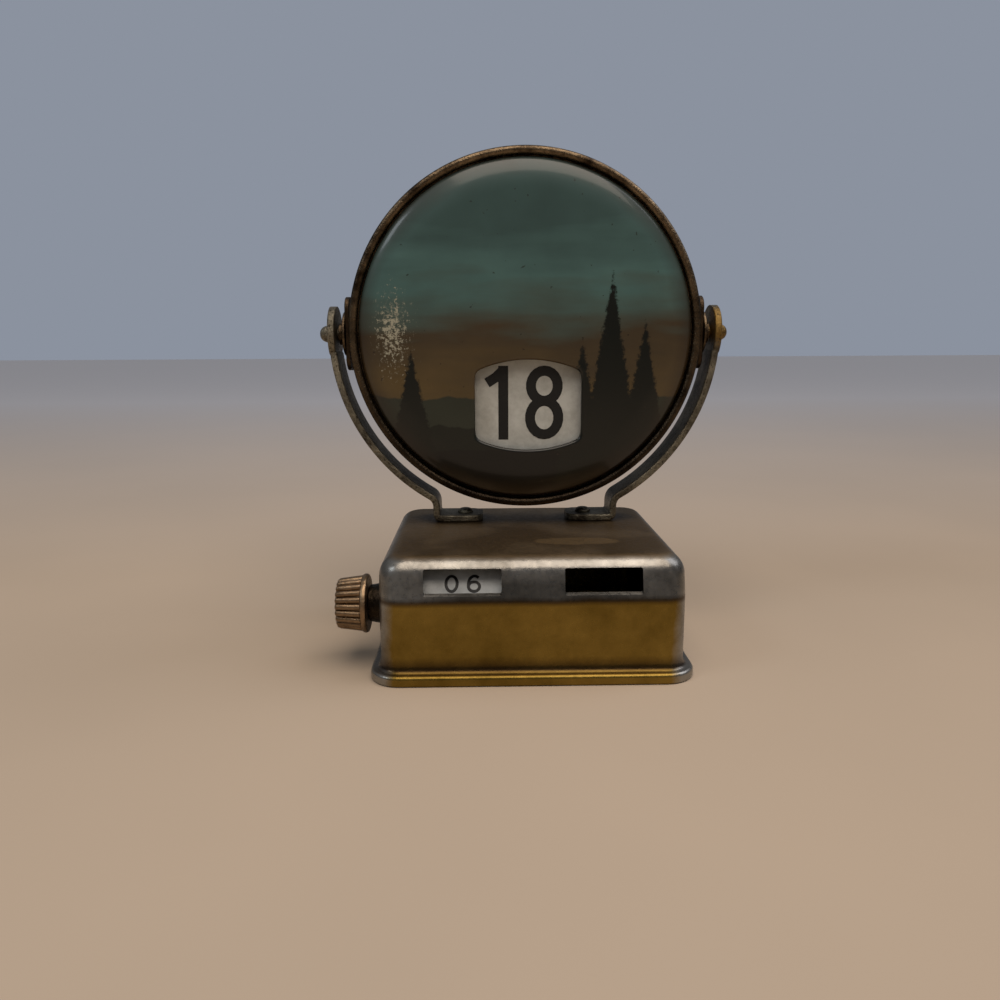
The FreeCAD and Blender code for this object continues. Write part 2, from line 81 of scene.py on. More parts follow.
def newMaterial(name):
    material = bpy.data.materials.new(name)
    material.use_nodes = True
    tree = material.node_tree
    return material, tree, partial(addNode, tree), tree.nodes["Principled BSDF"]


def newObject(name, data):
    thing = bpy.data.objects.new(name, data)
    bpy.context.scene.collection.objects.link(thing)
    return thing


# X, y, z of the surface in millimetres, turned half round the pivot for the back cover.
def objectPlace(add, turned=False):
    coords = add("TexCoord")
    place = add("VectorMath", {1: (1000, 1000, 1000)}, {0: coords.outputs["Object"]}, operation="MULTIPLY")
    if turned:
        place = add("VectorMath", {1: (1, -1, -1), 2: (0, 2 * pivot.y, 2 * pivot.z)}, {0: place},
                    operation="MULTIPLY_ADD")
    return place


# Mesh tools: every shape is worked out in millimetres and scaled to metres at the end

# A closed outline with each corner rounded.
def roundCorners(points, radii, steps=5):
    outline = []
    for i, point in enumerate(points):
        here = Vector(point)
        radius = radii[i] if isinstance(radii, (list, tuple)) else radii
        toLast = Vector(points[i - 1]) - here
        toNext = Vector(points[(i + 1) % len(points)]) - here
        reach = min(toLast.length, toNext.length) * 0.45
        toLast.normalize()
        toNext.normalize()
        half = toLast.angle(toNext) / 2
        if radius <= 0 or half > math.radians(88):
            outline.append(here)
            continue
        reach = min(reach, radius / math.tan(half))
        fit = reach * math.tan(half)
        centre = here + (toLast + toNext).normalized() * (fit / math.sin(half))
        start, end = here + toLast * reach - centre, here + toNext * reach - centre
        turn = start.angle(end)
        for k in range(steps + 1):
            t = k / steps
            mixed = start * math.sin((1 - t) * turn) + end * math.sin(t * turn)
            outline.append(centre + mixed / math.sin(turn))
    return outline


# A mesh from rings of the same number of points.
def loft(rings, joinEnds=False, capStart=False, capEnd=False):
    count = len(rings[0])
    verts = [Vector(p) * mm for ring in rings for p in ring]
    faces = []
    bands = len(rings) if joinEnds else len(rings) - 1
    for i in range(bands):
        a, b = i * count, ((i + 1) % len(rings)) * count
        for k in range(count):
            n = (k + 1) % count
            faces.append((a + k, a + n, b + n, b + k))
    if capStart:
        faces.append(tuple(range(count))[::-1])
    if capEnd:
        faces.append(tuple(range((len(rings) - 1) * count, len(rings) * count)))
    mesh = bpy.data.meshes.new("loft")
    mesh.from_pydata(verts, [], faces)
    return mesh


# A turned shape: profile is (along, radius) in mm; a radius of 0 makes a pole.
def turned(profile, centre, direction, count=96, closed=True):
    across = axisX if abs(direction.x) < 0.5 else axisZ
    other = direction.cross(across)
    rings = []
    for along, radius in profile:
        ring = []
        for angle in allRound(count):
            spoke = across * math.cos(angle) + other * math.sin(angle)
            ring.append(centre + direction * along + spoke * radius)
        rings.append(ring)
    return tidy(loft(rings, joinEnds=closed))


# Doubles merged, faces outward.
def tidy(mesh):
    work = bmesh.new()
    work.from_mesh(mesh)
    bmesh.ops.remove_doubles(work, verts=work.verts, dist=1e-7)
    bmesh.ops.dissolve_degenerate(work, edges=work.edges, dist=1e-8)
    bmesh.ops.recalc_face_normals(work, faces=work.faces)
    work.to_mesh(mesh)
    work.free()
    return mesh


# Angles from nothing to a quarter turn, and all round.
def quarter(steps):
    return [math.pi / 2 * k / steps for k in range(steps + 1)]


def allRound(count):
    return [2 * math.pi * k / count for k in range(count)]


def solidLoft(rings):
    return tidy(loft(rings, capStart=True, capEnd=True))


def roundRectangle(halfX, halfY, radius, steps):
    return roundCorners([(-halfX, -halfY), (halfX, -halfY), (halfX, halfY), (-halfX, halfY)], radius, steps)


# A round cutter along X.
def drill(start, end, radius, centre, count=48):
    return turned([(start, 0), (start, radius), (end, radius), (end, 0)], centre, axisX, count, closed=False)


def joined(meshes):
    work = bmesh.new()
    for mesh in meshes:
        work.from_mesh(mesh)
    whole = bpy.data.meshes.new("joined")
    work.to_mesh(whole)
    work.free()
    return whole


# A finished piece on its body, shaded smooth but for sharp edges.
def piece(name, mesh, material, body, replaced=(), sharp=32):
    mesh.name = name
    mesh.materials.clear()
    mesh.materials.append(material)
    mesh.shade_smooth()
    mesh.set_sharp_from_angle(angle=math.radians(sharp))
    thing = newObject(name, mesh)
    evener = thing.modifiers.new("even shading", "WEIGHTED_NORMAL")
    evener.keep_sharp = True
    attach(thing, body)
    if replaced:
        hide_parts(*replaced)
    return thing


# The mesh with closed cutter meshes taken away.
def cutOut(mesh, cutters):
    solid = newObject("solid", mesh)
    tools = [newObject("tool", cutter) for cutter in cutters]
    for tool in tools:
        cut = solid.modifiers.new("cut", "BOOLEAN")
        cut.operation = "DIFFERENCE"
        cut.solver = "EXACT"
        cut.object = tool
    bpy.context.view_layer.update()
    result = bpy.data.meshes.new_from_object(solid.evaluated_get(bpy.context.evaluated_depsgraph_get()))
    for thing in [solid] + tools:
        bpy.data.objects.remove(thing)
    return result


# Geometry Nodes: copies of one piece set round an axis

def copiesTree():
    tree = bpy.data.node_groups.new("copies round an axis", "GeometryNodeTree")
    add = partial(addNode, tree)
    sockets = {}
    for label, kind, value in (("Piece", "NodeSocketGeometry", None), ("Copies", "NodeSocketInt", 2),
                               ("Centre", "NodeSocketVector", (0, 0, 0)),
                               ("Axis", "NodeSocketVector", (0, 0, 1)),
                               ("Loose turn", "NodeSocketFloat", 0.0), ("Seed", "NodeSocketInt", 3),
                               ("Finish", "NodeSocketMaterial", None)):
        socket = tree.interface.new_socket(label, in_out="INPUT", socket_type=kind)
        if value is not None:
            socket.default_value = value
        sockets[label] = socket.identifier
    tree.interface.new_socket("Copies", in_out="OUTPUT", socket_type="NodeSocketGeometry")
    given = add("NodeGroupInput").outputs
    moved = add("VectorMath", {1: (-1, -1, -1)}, {0: given["Centre"]}, operation="MULTIPLY")
    centred = add("GeometryNodeTransform", links={"Geometry": given["Piece"], "Translation": moved})
    points = add("GeometryNodePoints", links={"Count": given["Copies"], "Position": given["Centre"]})
    index = add("GeometryNodeInputIndex")
    share = add("Math", links={0: index, 1: given["Copies"]}, operation="DIVIDE")
    angle = add("Math", {1: 2 * math.pi}, {0: share}, operation="MULTIPLY")
    loose = add("FunctionNodeRandomValue", {"Min": -1, "Max": 1}, {"ID": index, "Seed": given["Seed"]})
    slip = add("Math", links={0: loose, 1: given["Loose turn"], 2: angle}, operation="MULTIPLY_ADD")
    spin = add("FunctionNodeAxisAngleToRotation", links={"Axis": given["Axis"], "Angle": slip})
    placed = add("GeometryNodeInstanceOnPoints",
                 links={"Points": points, "Instance": centred, "Rotation": spin})
    real = add("GeometryNodeRealizeInstances", links={"Geometry": placed})
    finished = add("GeometryNodeSetMaterial", links={"Geometry": real, "Material": given["Finish"]})
    add("NodeGroupOutput", links={"Copies": finished})
    return tree, sockets


copiesGroup, copiesInputs = copiesTree()


# One piece repeated round an axis, as a plain mesh.
def copiesOf(mesh, copies, centre, axis, material, looseTurn=0.0):
    mesh.shade_smooth()
    mesh.set_sharp_from_angle(angle=math.radians(32))
    holder = newObject("holder", mesh)
    nodes = holder.modifiers.new("copies", "NODES")
    nodes.node_group = copiesGroup
    for label, value in (("Copies", copies), ("Centre", tuple(centre * mm)), ("Axis", tuple(axis)),
                         ("Loose turn", looseTurn), ("Finish", material)):
        nodes[copiesInputs[label]] = value
    bpy.context.view_layer.update()
    result = bpy.data.meshes.new_from_object(holder.evaluated_get(bpy.context.evaluated_depsgraph_get()))
    bpy.data.objects.remove(holder)
    return result


# The second one of a pair stands on the other side of the case.
def pairOf(mesh, material):
    return copiesOf(mesh, 2, Vector((0, pivot.y, 0)), axisZ, material)


# Materials

# Colours in (dark, light) pairs, heights and places in millimetres.
plateLook = {
    "brass": ("#6b5620", "#8f7637"), "nickel": ("#5b5852", "#a5a39d"), "top": ("#65533a", "#826f55"),
    "nickelPaintedReflection": "#353430", "crease": "#3c2c18", "flareReflection": "#2f1f13", "rubbed": "#927955",
    "darkAroundFeet": "#2a2118", "brassTop": 13.4, "brassHalf": 24.2, "creaseZ": 13.15, "bendZ": 17.0, "topZ": 18.45,
    "hollowZ": (1.5, 4.6), "patchAt": (7.5, -9.0, 19.1), "patchReach": 7.0, "footAt": (12.0, 9.3, 0),
    "footReach": 9.6, "metallic": 0.9,
}


# Thin nickel over pressed brass, lacquered and worn: brass glows on the upright faces and the bend shines.
def brassPlate():
    s = plateLook
    material, tree, add, shader = newMaterial("worn nickel over pressed brass")
    place = objectPlace(add)
    x, y, z = add("SeparateXYZ", links={0: place}).outputs
    cloud = add("TexNoise", {"Scale": 0.11, "Detail": 6, "Roughness": 0.62}, {"Vector": place})
    grain = add("TexNoise", {"Scale": 1.3, "Detail": 5, "Roughness": 0.6}, {"Vector": place})
    # Height bands: brass below the crease, nickel band with the windows, brown top plate.
    ragged = add("Math", {1: 0.9}, {0: cloud, 2: z}, operation="MULTIPLY_ADD")
    upright = add("MapRange", {1: s["brassTop"], 2: s["brassTop"] - 0.5}, {0: ragged})
    sideX = add("Math", links={0: x}, operation="ABSOLUTE")
    uneven = add("Math", {1: 3.0}, {0: cloud, 2: sideX}, operation="MULTIPLY_ADD")
    inside = add("MapRange", {1: s["brassHalf"], 2: s["brassHalf"] - 1.6}, {0: uneven})
    brassy = add("Math", links={0: upright, 1: inside}, operation="MULTIPLY")
    brass = add("ValToRGB", links={0: cloud}, stops=((0.32, s["brass"][0]), (0.7, s["brass"][1])))
    nickel = add("ValToRGB", links={0: cloud}, stops=((0.3, s["nickel"][0]), (0.72, s["nickel"][1])))
    # Painted reflection: below the bend, the nickel is painted darker between the windows and stays bright
    # towards the corners.
    middle = add("MapRange", {1: 20.5, 2: 13.0, 3: 0.0, 4: 0.62}, {0: uneven})
    belowBend = add("MapRange", {1: s["bendZ"], 2: s["bendZ"] - 1.8}, {0: z})
    middle = add("Math", links={0: middle, 1: belowBend}, operation="MULTIPLY")
    nickel = add("Mix", {7: tint(s["nickelPaintedReflection"])}, {0: middle, 6: nickel})
    plated = add("Mix", links={0: brassy, 6: nickel, 7: brass})
    # Painted shade: a dark brown line along the crease.
    fromCrease = add("Math", {1: s["creaseZ"]}, {0: ragged}, operation="SUBTRACT")
    creaseWay = add("Math", links={0: fromCrease}, operation="ABSOLUTE")
    paintedCreaseShade = add("MapRange", {1: 0.75, 2: 0.1, 3: 0.0, 4: 0.8}, {0: creaseWay})
    plated = add("Mix", {7: tint(s["crease"])}, {0: paintedCreaseShade, 6: plated})
    # Painted reflection: the concave flare above the foot is painted dark.
    low, high = s["hollowZ"]
    flareLow = add("MapRange", {1: low, 2: low + 0.6}, {0: z})
    flareHigh = add("MapRange", {1: high, 2: high - 2.0}, {0: ragged})
    flareReflection = add("Math", links={0: flareLow, 1: flareHigh}, operation="MULTIPLY")
    flareReflectionShare = add("Math", {1: 0.92}, {0: flareReflection}, operation="MULTIPLY")
    plated = add("Mix", {7: tint(s["flareReflection"])}, {0: flareReflectionShare, 6: plated})
    onTop = add("MapRange", {1: s["topZ"], 2: s["topZ"] + 0.53}, {0: z})
    stain = add("TexNoise", {"Scale": 0.07, "Detail": 3, "Distortion": 0.6}, {"Vector": place})
    dull = add("ValToRGB", links={0: stain}, stops=((0.42, s["top"][0]), (0.62, s["top"][1])))
    # A paler worn patch on the right, and a darker colour round the two yoke feet.
    mirrored = add("CombineXYZ", links={0: sideX, 1: y})
    for spot, stretch, fromPoint, reach, fade, most, code in (
            (s["patchAt"], (0.62, 1.7, 1), place, s["patchReach"], 0.8, 0.75, s["rubbed"]),
            (s["footAt"], (0.8, 1.25, 1), mirrored, s["footReach"], 2.6, 0.85, s["darkAroundFeet"])):
        aside = add("VectorMath", {1: spot}, {0: fromPoint}, operation="SUBTRACT")
        stretched = add("VectorMath", {1: stretch}, {0: aside}, operation="MULTIPLY")
        away = add("VectorMath", links={0: stretched}, operation="LENGTH")
        frayed = add("Math", {1: 5.0}, {0: cloud, 2: away}, operation="MULTIPLY_ADD")
        share = add("MapRange", {1: reach, 2: reach - fade, 3: 0.0, 4: most}, {0: frayed})
        dull = add("Mix", {7: tint(code)}, {0: share, 6: dull})
    topped = add("Mix", links={0: onTop, 6: plated, 7: dull})
    rough = add("MapRange", {1: 0.3, 2: 0.75, 3: 0.24, 4: 0.40}, {0: grain})
    dullTop = add("Math", {1: 0.14}, {0: onTop, 2: rough}, operation="MULTIPLY_ADD")
    bump = add("Bump", {"Strength": 0.12, "Distance": 0.0004}, {"Height": grain})
    fill(tree, shader, {"Metallic": s["metallic"]},
         {"Base Color": topped, "Roughness": dullTop, "Normal": bump})
    return material


# Plated strip with dark tarnish and pits: pits are about pitScale per millimetre.
def agedMetal(name, light, dark, pit, roughness, metallic=0.95, pitScale=1.1, brassAt=None, paintedShadeBelow=None):
    material, tree, add, shader = newMaterial(name)
    place = objectPlace(add)
    cloud = add("TexNoise", {"Scale": 0.16, "Detail": 6, "Roughness": 0.65}, {"Vector": place})
    fine = add("TexNoise", {"Scale": pitScale, "Detail": 4, "Roughness": 0.7}, {"Vector": place})
    base = add("ValToRGB", links={0: cloud}, stops=((0.35, dark), (0.66, light)))
    if brassAt:  # the plating has gone in one place
        gap = add("VectorMath", {1: brassAt}, {0: place}, operation="DISTANCE")
        frayed = add("Math", {1: 3.0}, {0: fine, 2: gap}, operation="MULTIPLY_ADD")
        bared = add("MapRange", {1: 5.4, 2: 4.4}, {0: frayed})
        base = add("Mix", {7: tint("#7d6436")}, {0: bared, 6: base})
    if paintedShadeBelow:  # painted shade: near black low down, thinning out upwards
        level = add("SeparateXYZ", links={0: place}).outputs[2]
        low = add("MapRange", {1: paintedShadeBelow + 14, 2: paintedShadeBelow - 14, 3: 0.0, 4: 0.85}, {0: level})
        base = add("Mix", {7: tint("#17120e")}, {0: low, 6: base})
    pits = add("MapRange", {1: 0.54, 2: 0.64}, {0: fine})
    shown = add("Math", {1: pit}, {0: pits}, operation="MULTIPLY")
    spotted = add("Mix", {7: tint("#1c1712")}, {0: shown, 6: base})
    rough = add("MapRange", {1: 0.3, 2: 0.7, 3: roughness - 0.07, 4: roughness + 0.12}, {0: fine})
    bump = add("Bump", {"Strength": 0.25 + 0.5 * pit, "Distance": 0.0003}, {"Height": fine}, invert=True)
    fill(tree, shader, {"Metallic": metallic}, {"Base Color": spotted, "Roughness": rough, "Normal": bump})
    return material


# Sky from the ridge upwards; ridges as (scale, swing, level, colour); pines as (x, foot, top, spread).
pictureLook = {
    "sky": ((0.30, "#5c4b2b"), (0.56, "#453a29"), (0.80, "#4c6a67"), (1.0, "#3c5351")),
    "ridges": ((0.045, 9.0, 41.5, "#2c3026"), (0.08, 7.0, 36.5, "#12160f"), (0.05, 4.0, 32.5, "#070806")),
    "pine": "#0b0f09", "chip": "#a9a692", "paintedRimShade": "#2a1f15", "speck": "#241c15",
    "chipsAt": (-22.5, 0, 52.5),
    "pines": ((14.5, 36.0, 62.5, 4.6), (20.2, 36.5, 55.0, 3.6), (9.6, 35.5, 51.5, 3.2),
              (-19.5, 38.0, 50.0, 2.8)),
}


# Litho-printed sheet under glossy lacquer: dusk sky, two ridges, a few pines; lacquer chipped at one side.
def lacqueredPicture(turnedOver):
    s = pictureLook
    material, tree, add, shader = newMaterial("lacquered print" + (" turned over" if turnedOver else ""))
    place = objectPlace(add, turnedOver)
    x, _, z = add("SeparateXYZ", links={0: place}).outputs
    flat = add("VectorMath", {1: (1, 0, 1)}, {0: place}, operation="MULTIPLY")
    wash = add("TexNoise", {"Scale": 0.09, "Detail": 4, "Roughness": 0.55}, {"Vector": flat})
    streak = add("VectorMath", {1: (0.35, 1, 1.9)}, {0: flat}, operation="MULTIPLY")
    clouds = add("TexNoise", {"Scale": 0.10, "Detail": 5, "Roughness": 0.5}, {"Vector": streak})
    height = add("MapRange", {1: 38, 2: 80}, {0: z})
    lifted = add("Math", {1: 0.5}, {0: clouds, 2: height}, operation="MULTIPLY_ADD")
    painted = add("ValToRGB", links={0: lifted}, stops=s["sky"])
    along = add("CombineXYZ", links={0: x})
    # Two ridges and the ground: each is dark below a wavy line.
    for scale, swing, level, code in s["ridges"]:
        ridge = add("TexNoise", {"Scale": scale, "Detail": 5, "Roughness": 0.5}, {"Vector": along})
        line = add("Math", {1: swing, 2: level - swing / 2}, {0: ridge}, operation="MULTIPLY_ADD")
        below = add("Math", links={0: line, 1: z}, operation="SUBTRACT")
        edge = add("MapRange", {1: -0.12, 2: 0.2}, {0: below})
        painted = add("Mix", {7: tint(code)}, {0: edge, 6: painted})
    # Pines: narrow cones with ragged edges.
    needle = add("TexNoise", {"Scale": 0.9, "Detail": 4, "Roughness": 0.75}, {"Vector": flat})
    for treeX, foot, top, spread in s["pines"]:
        off = add("Math", {1: treeX}, {0: x}, operation="SUBTRACT")
        away = add("Math", links={0: off}, operation="ABSOLUTE")
        ragged = add("Math", {1: 2.6}, {0: needle, 2: away}, operation="MULTIPLY_ADD")
        slope = spread / (top - foot)
        room = add("MapRange", {1: foot, 2: top, 3: spread + 1.3, 4: 1.3}, {0: z}, clamp=False)
        inside = add("Math", links={0: room, 1: ragged}, operation="SUBTRACT")
        cone = add("MapRange", {1: 0.0, 2: slope + 0.25}, {0: inside})
        lower = add("Math", {1: top}, {0: z}, operation="LESS_THAN")
        shape = add("Math", links={0: cone, 1: lower}, operation="MULTIPLY")
        painted = add("Mix", {7: tint(s["pine"])}, {0: shape, 6: painted})
    # Age: a mottled wash over all and pale chips on the left side.
    shade = add("MapRange", {1: 0.3, 2: 0.7, 3: 0.86, 4: 1.1}, {0: wash})
    washed = add("VectorMath", links={0: painted, 1: shade}, operation="MULTIPLY")
    speck = add("TexNoise", {"Scale": 1.5, "Detail": 5, "Roughness": 0.8}, {"Vector": flat})
    patch = add("VectorMath", {1: s["chipsAt"]}, {0: flat}, operation="SUBTRACT")
    squeezed = add("VectorMath", {1: (1.9, 1, 0.8)}, {0: patch}, operation="MULTIPLY")
    near = add("VectorMath", links={0: squeezed}, operation="LENGTH")
    zone = add("MapRange", {1: 12.0, 2: 1.0, 3: -0.05, 4: 0.22}, {0: near})
    bared = add("Math", links={0: speck, 1: zone}, operation="ADD")
    chips = add("MapRange", {1: 0.68, 2: 0.74}, {0: bared})
    chipped = add("Mix", {7: tint(s["chip"])}, {0: chips, 6: washed})
    # Painted shade: towards the rim the print is painted darker and browner, most of all below.
    fromMiddle = add("VectorMath", {1: (0, 0, pivot.z)}, {0: flat}, operation="SUBTRACT")
    outward = add("VectorMath", links={0: fromMiddle}, operation="LENGTH")
    paintedRimShade = add("Math", {1: 5.0}, {0: wash, 2: outward}, operation="MULTIPLY_ADD")
    rimShare = add("MapRange", {1: 27.8, 2: 31.0, 3: 0.0, 4: 0.7}, {0: paintedRimShade})
    chipped = add("Mix", {7: tint(s["paintedRimShade"])}, {0: rimShare, 6: chipped})
    # Small rust specks all over.
    dots = add("TexNoise", {"Scale": 0.8, "Detail": 2, "Roughness": 0.6}, {"Vector": flat})
    dotted = add("MapRange", {1: 0.70, 2: 0.73, 3: 0.0, 4: 0.7}, {0: dots})
    chipped = add("Mix", {7: tint(s["speck"])}, {0: dotted, 6: chipped})
    bump = add("Bump", {"Strength": 0.2, "Distance": 0.0002}, {"Height": chips})
    fill(tree, shader, {"Roughness": 0.34, "Specular IOR Level": 0.3, "Coat Weight": 0.4,
                        "Coat Roughness": 0.12},
         {"Base Color": chipped, "Normal": bump})
    return material


# Off-white enamelled plate or card with a little grime.
def enamelCard(name, white, grime, roughness):
    material, tree, add, shader = newMaterial(name)
    place = objectPlace(add)
    cloud = add("TexNoise", {"Scale": 0.25, "Detail": 6, "Roughness": 0.7}, {"Vector": place})
    mix = add("ValToRGB", links={0: cloud}, stops=((0.3, grime), (0.62, white)))
    bump = add("Bump", {"Strength": 0.05, "Distance": 0.0002}, {"Height": cloud})
    fill(tree, shader, {"Roughness": roughness}, {"Base Color": mix, "Normal": bump})
    return material


platedBrass = brassPlate()
# Cut strip that has lost much of its nickel: soft grey glints between dark pits.
pittedNickel = agedMetal("pitted nickel strip", "#97917f", "#38322a", 0.85, 0.38, pitScale=2.6,
                         brassAt=(34.2, 6.5, 53.5))
# Rolled brass gone brown: a narrow warm glint on the bead, and painted shade makes it nearly black below.
agedBrassShadedBelow = agedMetal("tarnished brass band, painted shade below", "#827058", "#2d2319", 0.5, 0.27, pitScale=1.6, paintedShadeBelow=46)
# Untouched fittings: dark, with little gloss.
darkFitting = agedMetal("oxidised brass fitting", "#534433", "#2b221a", 0.4, 0.38, pitScale=1.6)
# Often handled: warm glints on every rib.
knobBrass = agedMetal("brown knob brass", "#9c8468", "#6a543e", 0.3, 0.30, pitScale=1.6)
bluedSpring = agedMetal("blued spring steel", "#5a554c", "#36322c", 0.3, 0.36)  # even dark grey
rolledSteel = agedMetal("bright rolled steel", "#b5b3ad", "#8d8a83", 0.12, 0.38)  # plain grey, hardly pitted
pictureFront, pictureRear = lacqueredPicture(False), lacqueredPicture(True)
# Stamped and fired: half gloss, a little yellowed.
dateEnamel = enamelCard("off-white enamelled plate", "#c9cbc5", "#a9aaa3", 0.38)
monthCard = enamelCard("grey-white printed card", "#c2c6c5", "#9da1a0", 0.6)  # matt
printInk = agedMetal("black printing ink", "#0c0d0d", "#080909", 0.0, 0.5, metallic=0.0)  # flat black film
print("calendar: materials ready")


# Pressed base

baseSizes = {
    "width": 46.7, "depth": 41.3, "height": 19.1, "sheet": 0.5, "corner": 3.2, "shoulder": 3.0,
    "frontBend": 3.0, "crease": 12.7, "setback": 1.7, "overhang": 1.6, "lip": 1.7, "flare": 1.3,
    "lipEdge": 0.6, "recess": 1.2, "recessOut": 0.8, "windowWidth": 11.7, "windowHeight": 3.6,
    "windowX": 10.6, "windowZ": 15.8, "windowRound": 0.3, "sillDrop": 0.5, "bushHole": 2.0,
    "tabLength": 4.0, "tabReach": 2.2, "tabThick": 0.4,
}


# A rounded rectangle at one height, with a guard point beside each corner.
def planRing(half, front, rear, corner, z, steps=10, guard=0.35):
    ring = []
    for cx, cy, start in ((half - corner, rear - corner, 0), (-half + corner, rear - corner, 90),
                          (-half + corner, front + corner, 180), (half - corner, front + corner, 270)):
        turn = math.radians(start)
        before = Vector((math.sin(turn), -math.cos(turn), 0)) * guard
        after = Vector((-math.cos(turn), -math.sin(turn), 0)) * guard
        arc = []
        for k in range(steps + 1):
            angle = turn + math.pi / 2 * k / steps
            arc.append(Vector((cx + corner * math.cos(angle), cy + corner * math.sin(angle), z)))
        ring += [arc[0] + before] + arc + [arc[-1] + after]
    return ring


# Half width, front, rear and corner radius of the pressed body at height z, cut back by inset.
def bodyLevel(z, inset):
    s = baseSizes
    top = s["height"] - inset
    shoulder = s["shoulder"] - inset
    rise = max(0.0, z - (top - shoulder))
    drawn = shoulder - math.sqrt(max(0.0, shoulder ** 2 - rise ** 2))
    slope = s["setback"] / (s["height"] - s["crease"])
    lean = math.atan(slope)
    front = -s["depth"] / 2 + inset / math.cos(lean) + max(0.0, z - s["crease"]) * slope
    if z < s["crease"]:
        front = -s["depth"] / 2 + inset
    bend = s["frontBend"] - inset
    edgeY = -s["depth"] / 2 + inset / math.cos(lean) + (top - s["crease"]) * slope
    reach = bend * math.tan((math.pi / 2 - lean) / 2)
    low = top - reach * math.cos(lean)
    if z > low:
        centreY = edgeY + reach
        front = centreY - math.sqrt(max(0.0, bend ** 2 - (z - top + bend) ** 2))
    half = s["width"] / 2 - inset - drawn
    rear = s["depth"] / 2 - inset - drawn
    corner = max(0.6, s["corner"] - inset - 0.45 * drawn)
    return half, front, rear, corner


def makeBase():
    s = baseSizes
    w, d = s["width"] / 2, s["depth"] / 2
    out, recess, edge, flare = s["overhang"], s["recessOut"], s["lipEdge"], s["flare"]
    footRound = 0.4

    # A ring round the foot, so far out from the walls.
    def footRing(reach, z, corner):
        return planRing(w + reach, -d - reach, d + reach, s["corner"] + corner, z)

    # Foot: flat under edge, rounded lip, concave flare up to the wall.
    foot = [(recess, s["recess"], 0), (recess, 0.25, 0), (recess + 0.2, 0.0, 0.2),
            (out - 0.45, 0.0, out - 0.45)]
    for a in quarter(4)[1:]:
        reach = out - footRound * (1 - math.sin(a))
        foot.append((reach, footRound * (1 - math.cos(a)), reach))
    for a in quarter(6):
        reach = out - edge * (1 - math.cos(a))
        foot.append((reach, s["lip"] - edge * (1 - math.sin(a)), reach))
    for a in quarter(8):
        reach = (out - edge - 0.15) * (1 - math.sin(a))
        foot.append((reach, s["lip"] + flare * (1 - math.cos(a)), reach))
    rings = [footRing(*sizes) for sizes in foot]
    levels = [s["lip"] + flare + 0.4, 8.0, s["crease"] - 0.25, s["crease"], s["crease"] + 0.25]
    levels += [s["height"] - s["shoulder"], 17.62]
    levels += [s["height"] - s["shoulder"] * (1 - math.sin(a)) for a in quarter(16)[1:]]
    rings += [planRing(*bodyLevel(z, 0), z) for z in sorted(levels)]
    half, front, rear, corner = bodyLevel(s["height"], 0)
    rings.append(planRing(half - 0.4, front + 0.4, rear - 0.4, max(0.4, corner - 0.4), s["height"]))
    skin = len(rings)
    # Inner skin from the top down.
    under = s["height"] - s["sheet"]
    half, front, rear, corner = bodyLevel(under, s["sheet"])
    inner = [planRing(half - 0.4, front + 0.4, rear - 0.4, max(0.3, corner - 0.4), under)]
    levels = [under - (s["shoulder"] - s["sheet"]) * (1 - math.cos(a)) for a in quarter(8)]
    inner += [planRing(*bodyLevel(z, s["sheet"]), z) for z in levels + [s["crease"], s["recess"]]]
    count = len(rings[0])
    mesh = loft(rings + inner, joinEnds=True)
    work = bmesh.new()
    work.from_mesh(mesh)
    work.verts.ensure_lookup_table()
    # The band between the two skins at the top becomes two caps.
    band = [f for f in work.faces if {v.index // count for v in f.verts} == {skin - 1, skin}]
    bmesh.ops.delete(work, geom=band, context="FACES_ONLY")
    work.faces.new([work.verts[(skin - 1) * count + k] for k in range(count)])
    work.faces.new([work.verts[skin * count + k] for k in range(count)][::-1])
    bmesh.ops.recalc_face_normals(work, faces=work.faces)
    work.to_mesh(mesh)
    work.free()
    lean = math.atan(s["setback"] / (s["height"] - s["crease"]))
    cutters = []
    for side in (-1, 1):
        w2, h2, r = s["windowWidth"] / 2, s["windowHeight"] / 2, s["windowRound"]
        outline = roundRectangle(w2, h2, r, 4)
        spin = Matrix.Rotation(-lean, 3, "X")
        y = -s["depth"] / 2 + (s["windowZ"] - s["crease"]) * math.tan(lean)
        centre = Vector((side * s["windowX"], y, s["windowZ"]))
        rings = []
        for deep, sill in ((-3, 1), (-0.02, 1), (s["sheet"] + 0.02, 0), (3, 0)):
            drop = s["sillDrop"] * sill
            rings.append([centre + spin @ Vector((p.x, deep, p.y - (drop if p.y < 0 else 0)))
                          for p in outline])
        cutters.append(solidLoft(rings))
        cutters.append(drill(side * 20, side * 26, s["bushHole"], drumAxis))
    shell = cutOut(mesh, cutters)
    tabs = []
    for sx in (-1, 1):
        for sy in (-1, 1):
            x0 = sx * (w + recess + 0.1)
            x1 = sx * (w + recess - s["tabReach"])
            y = sy * s["depth"] / 4
            half = s["tabLength"] / 2
            outline = roundCorners([(x0, y - half), (x1, y - half), (x1, y + half), (x0, y + half)],
                                   [0, 0.7, 0.7, 0], 4)
            rings = [[Vector((p.x, p.y, z)) for p in outline] for z in (0.0, s["tabThick"])]
            tabs.append(solidLoft(rings))
    return joined([shell] + tabs)


piece("pressed_base", makeBase(), platedBrass, "base", ("base_shell",))
print("calendar: base pressed")


# Yoke

yokeSizes = {
    "inner": 32.55, "thick": 1.2, "width": 7.0, "sweep": 61.5, "knee": 2.4, "footBend": 1.0,
    "footReach": 8.88, "ear": 4.7, "edge": 0.28, "tabRound": 2.2,
}


def bezier(a, b, c, steps):
    return [a * (1 - t) ** 2 + b * 2 * t * (1 - t) + c * t * t for t in [k / steps for k in range(steps + 1)]]


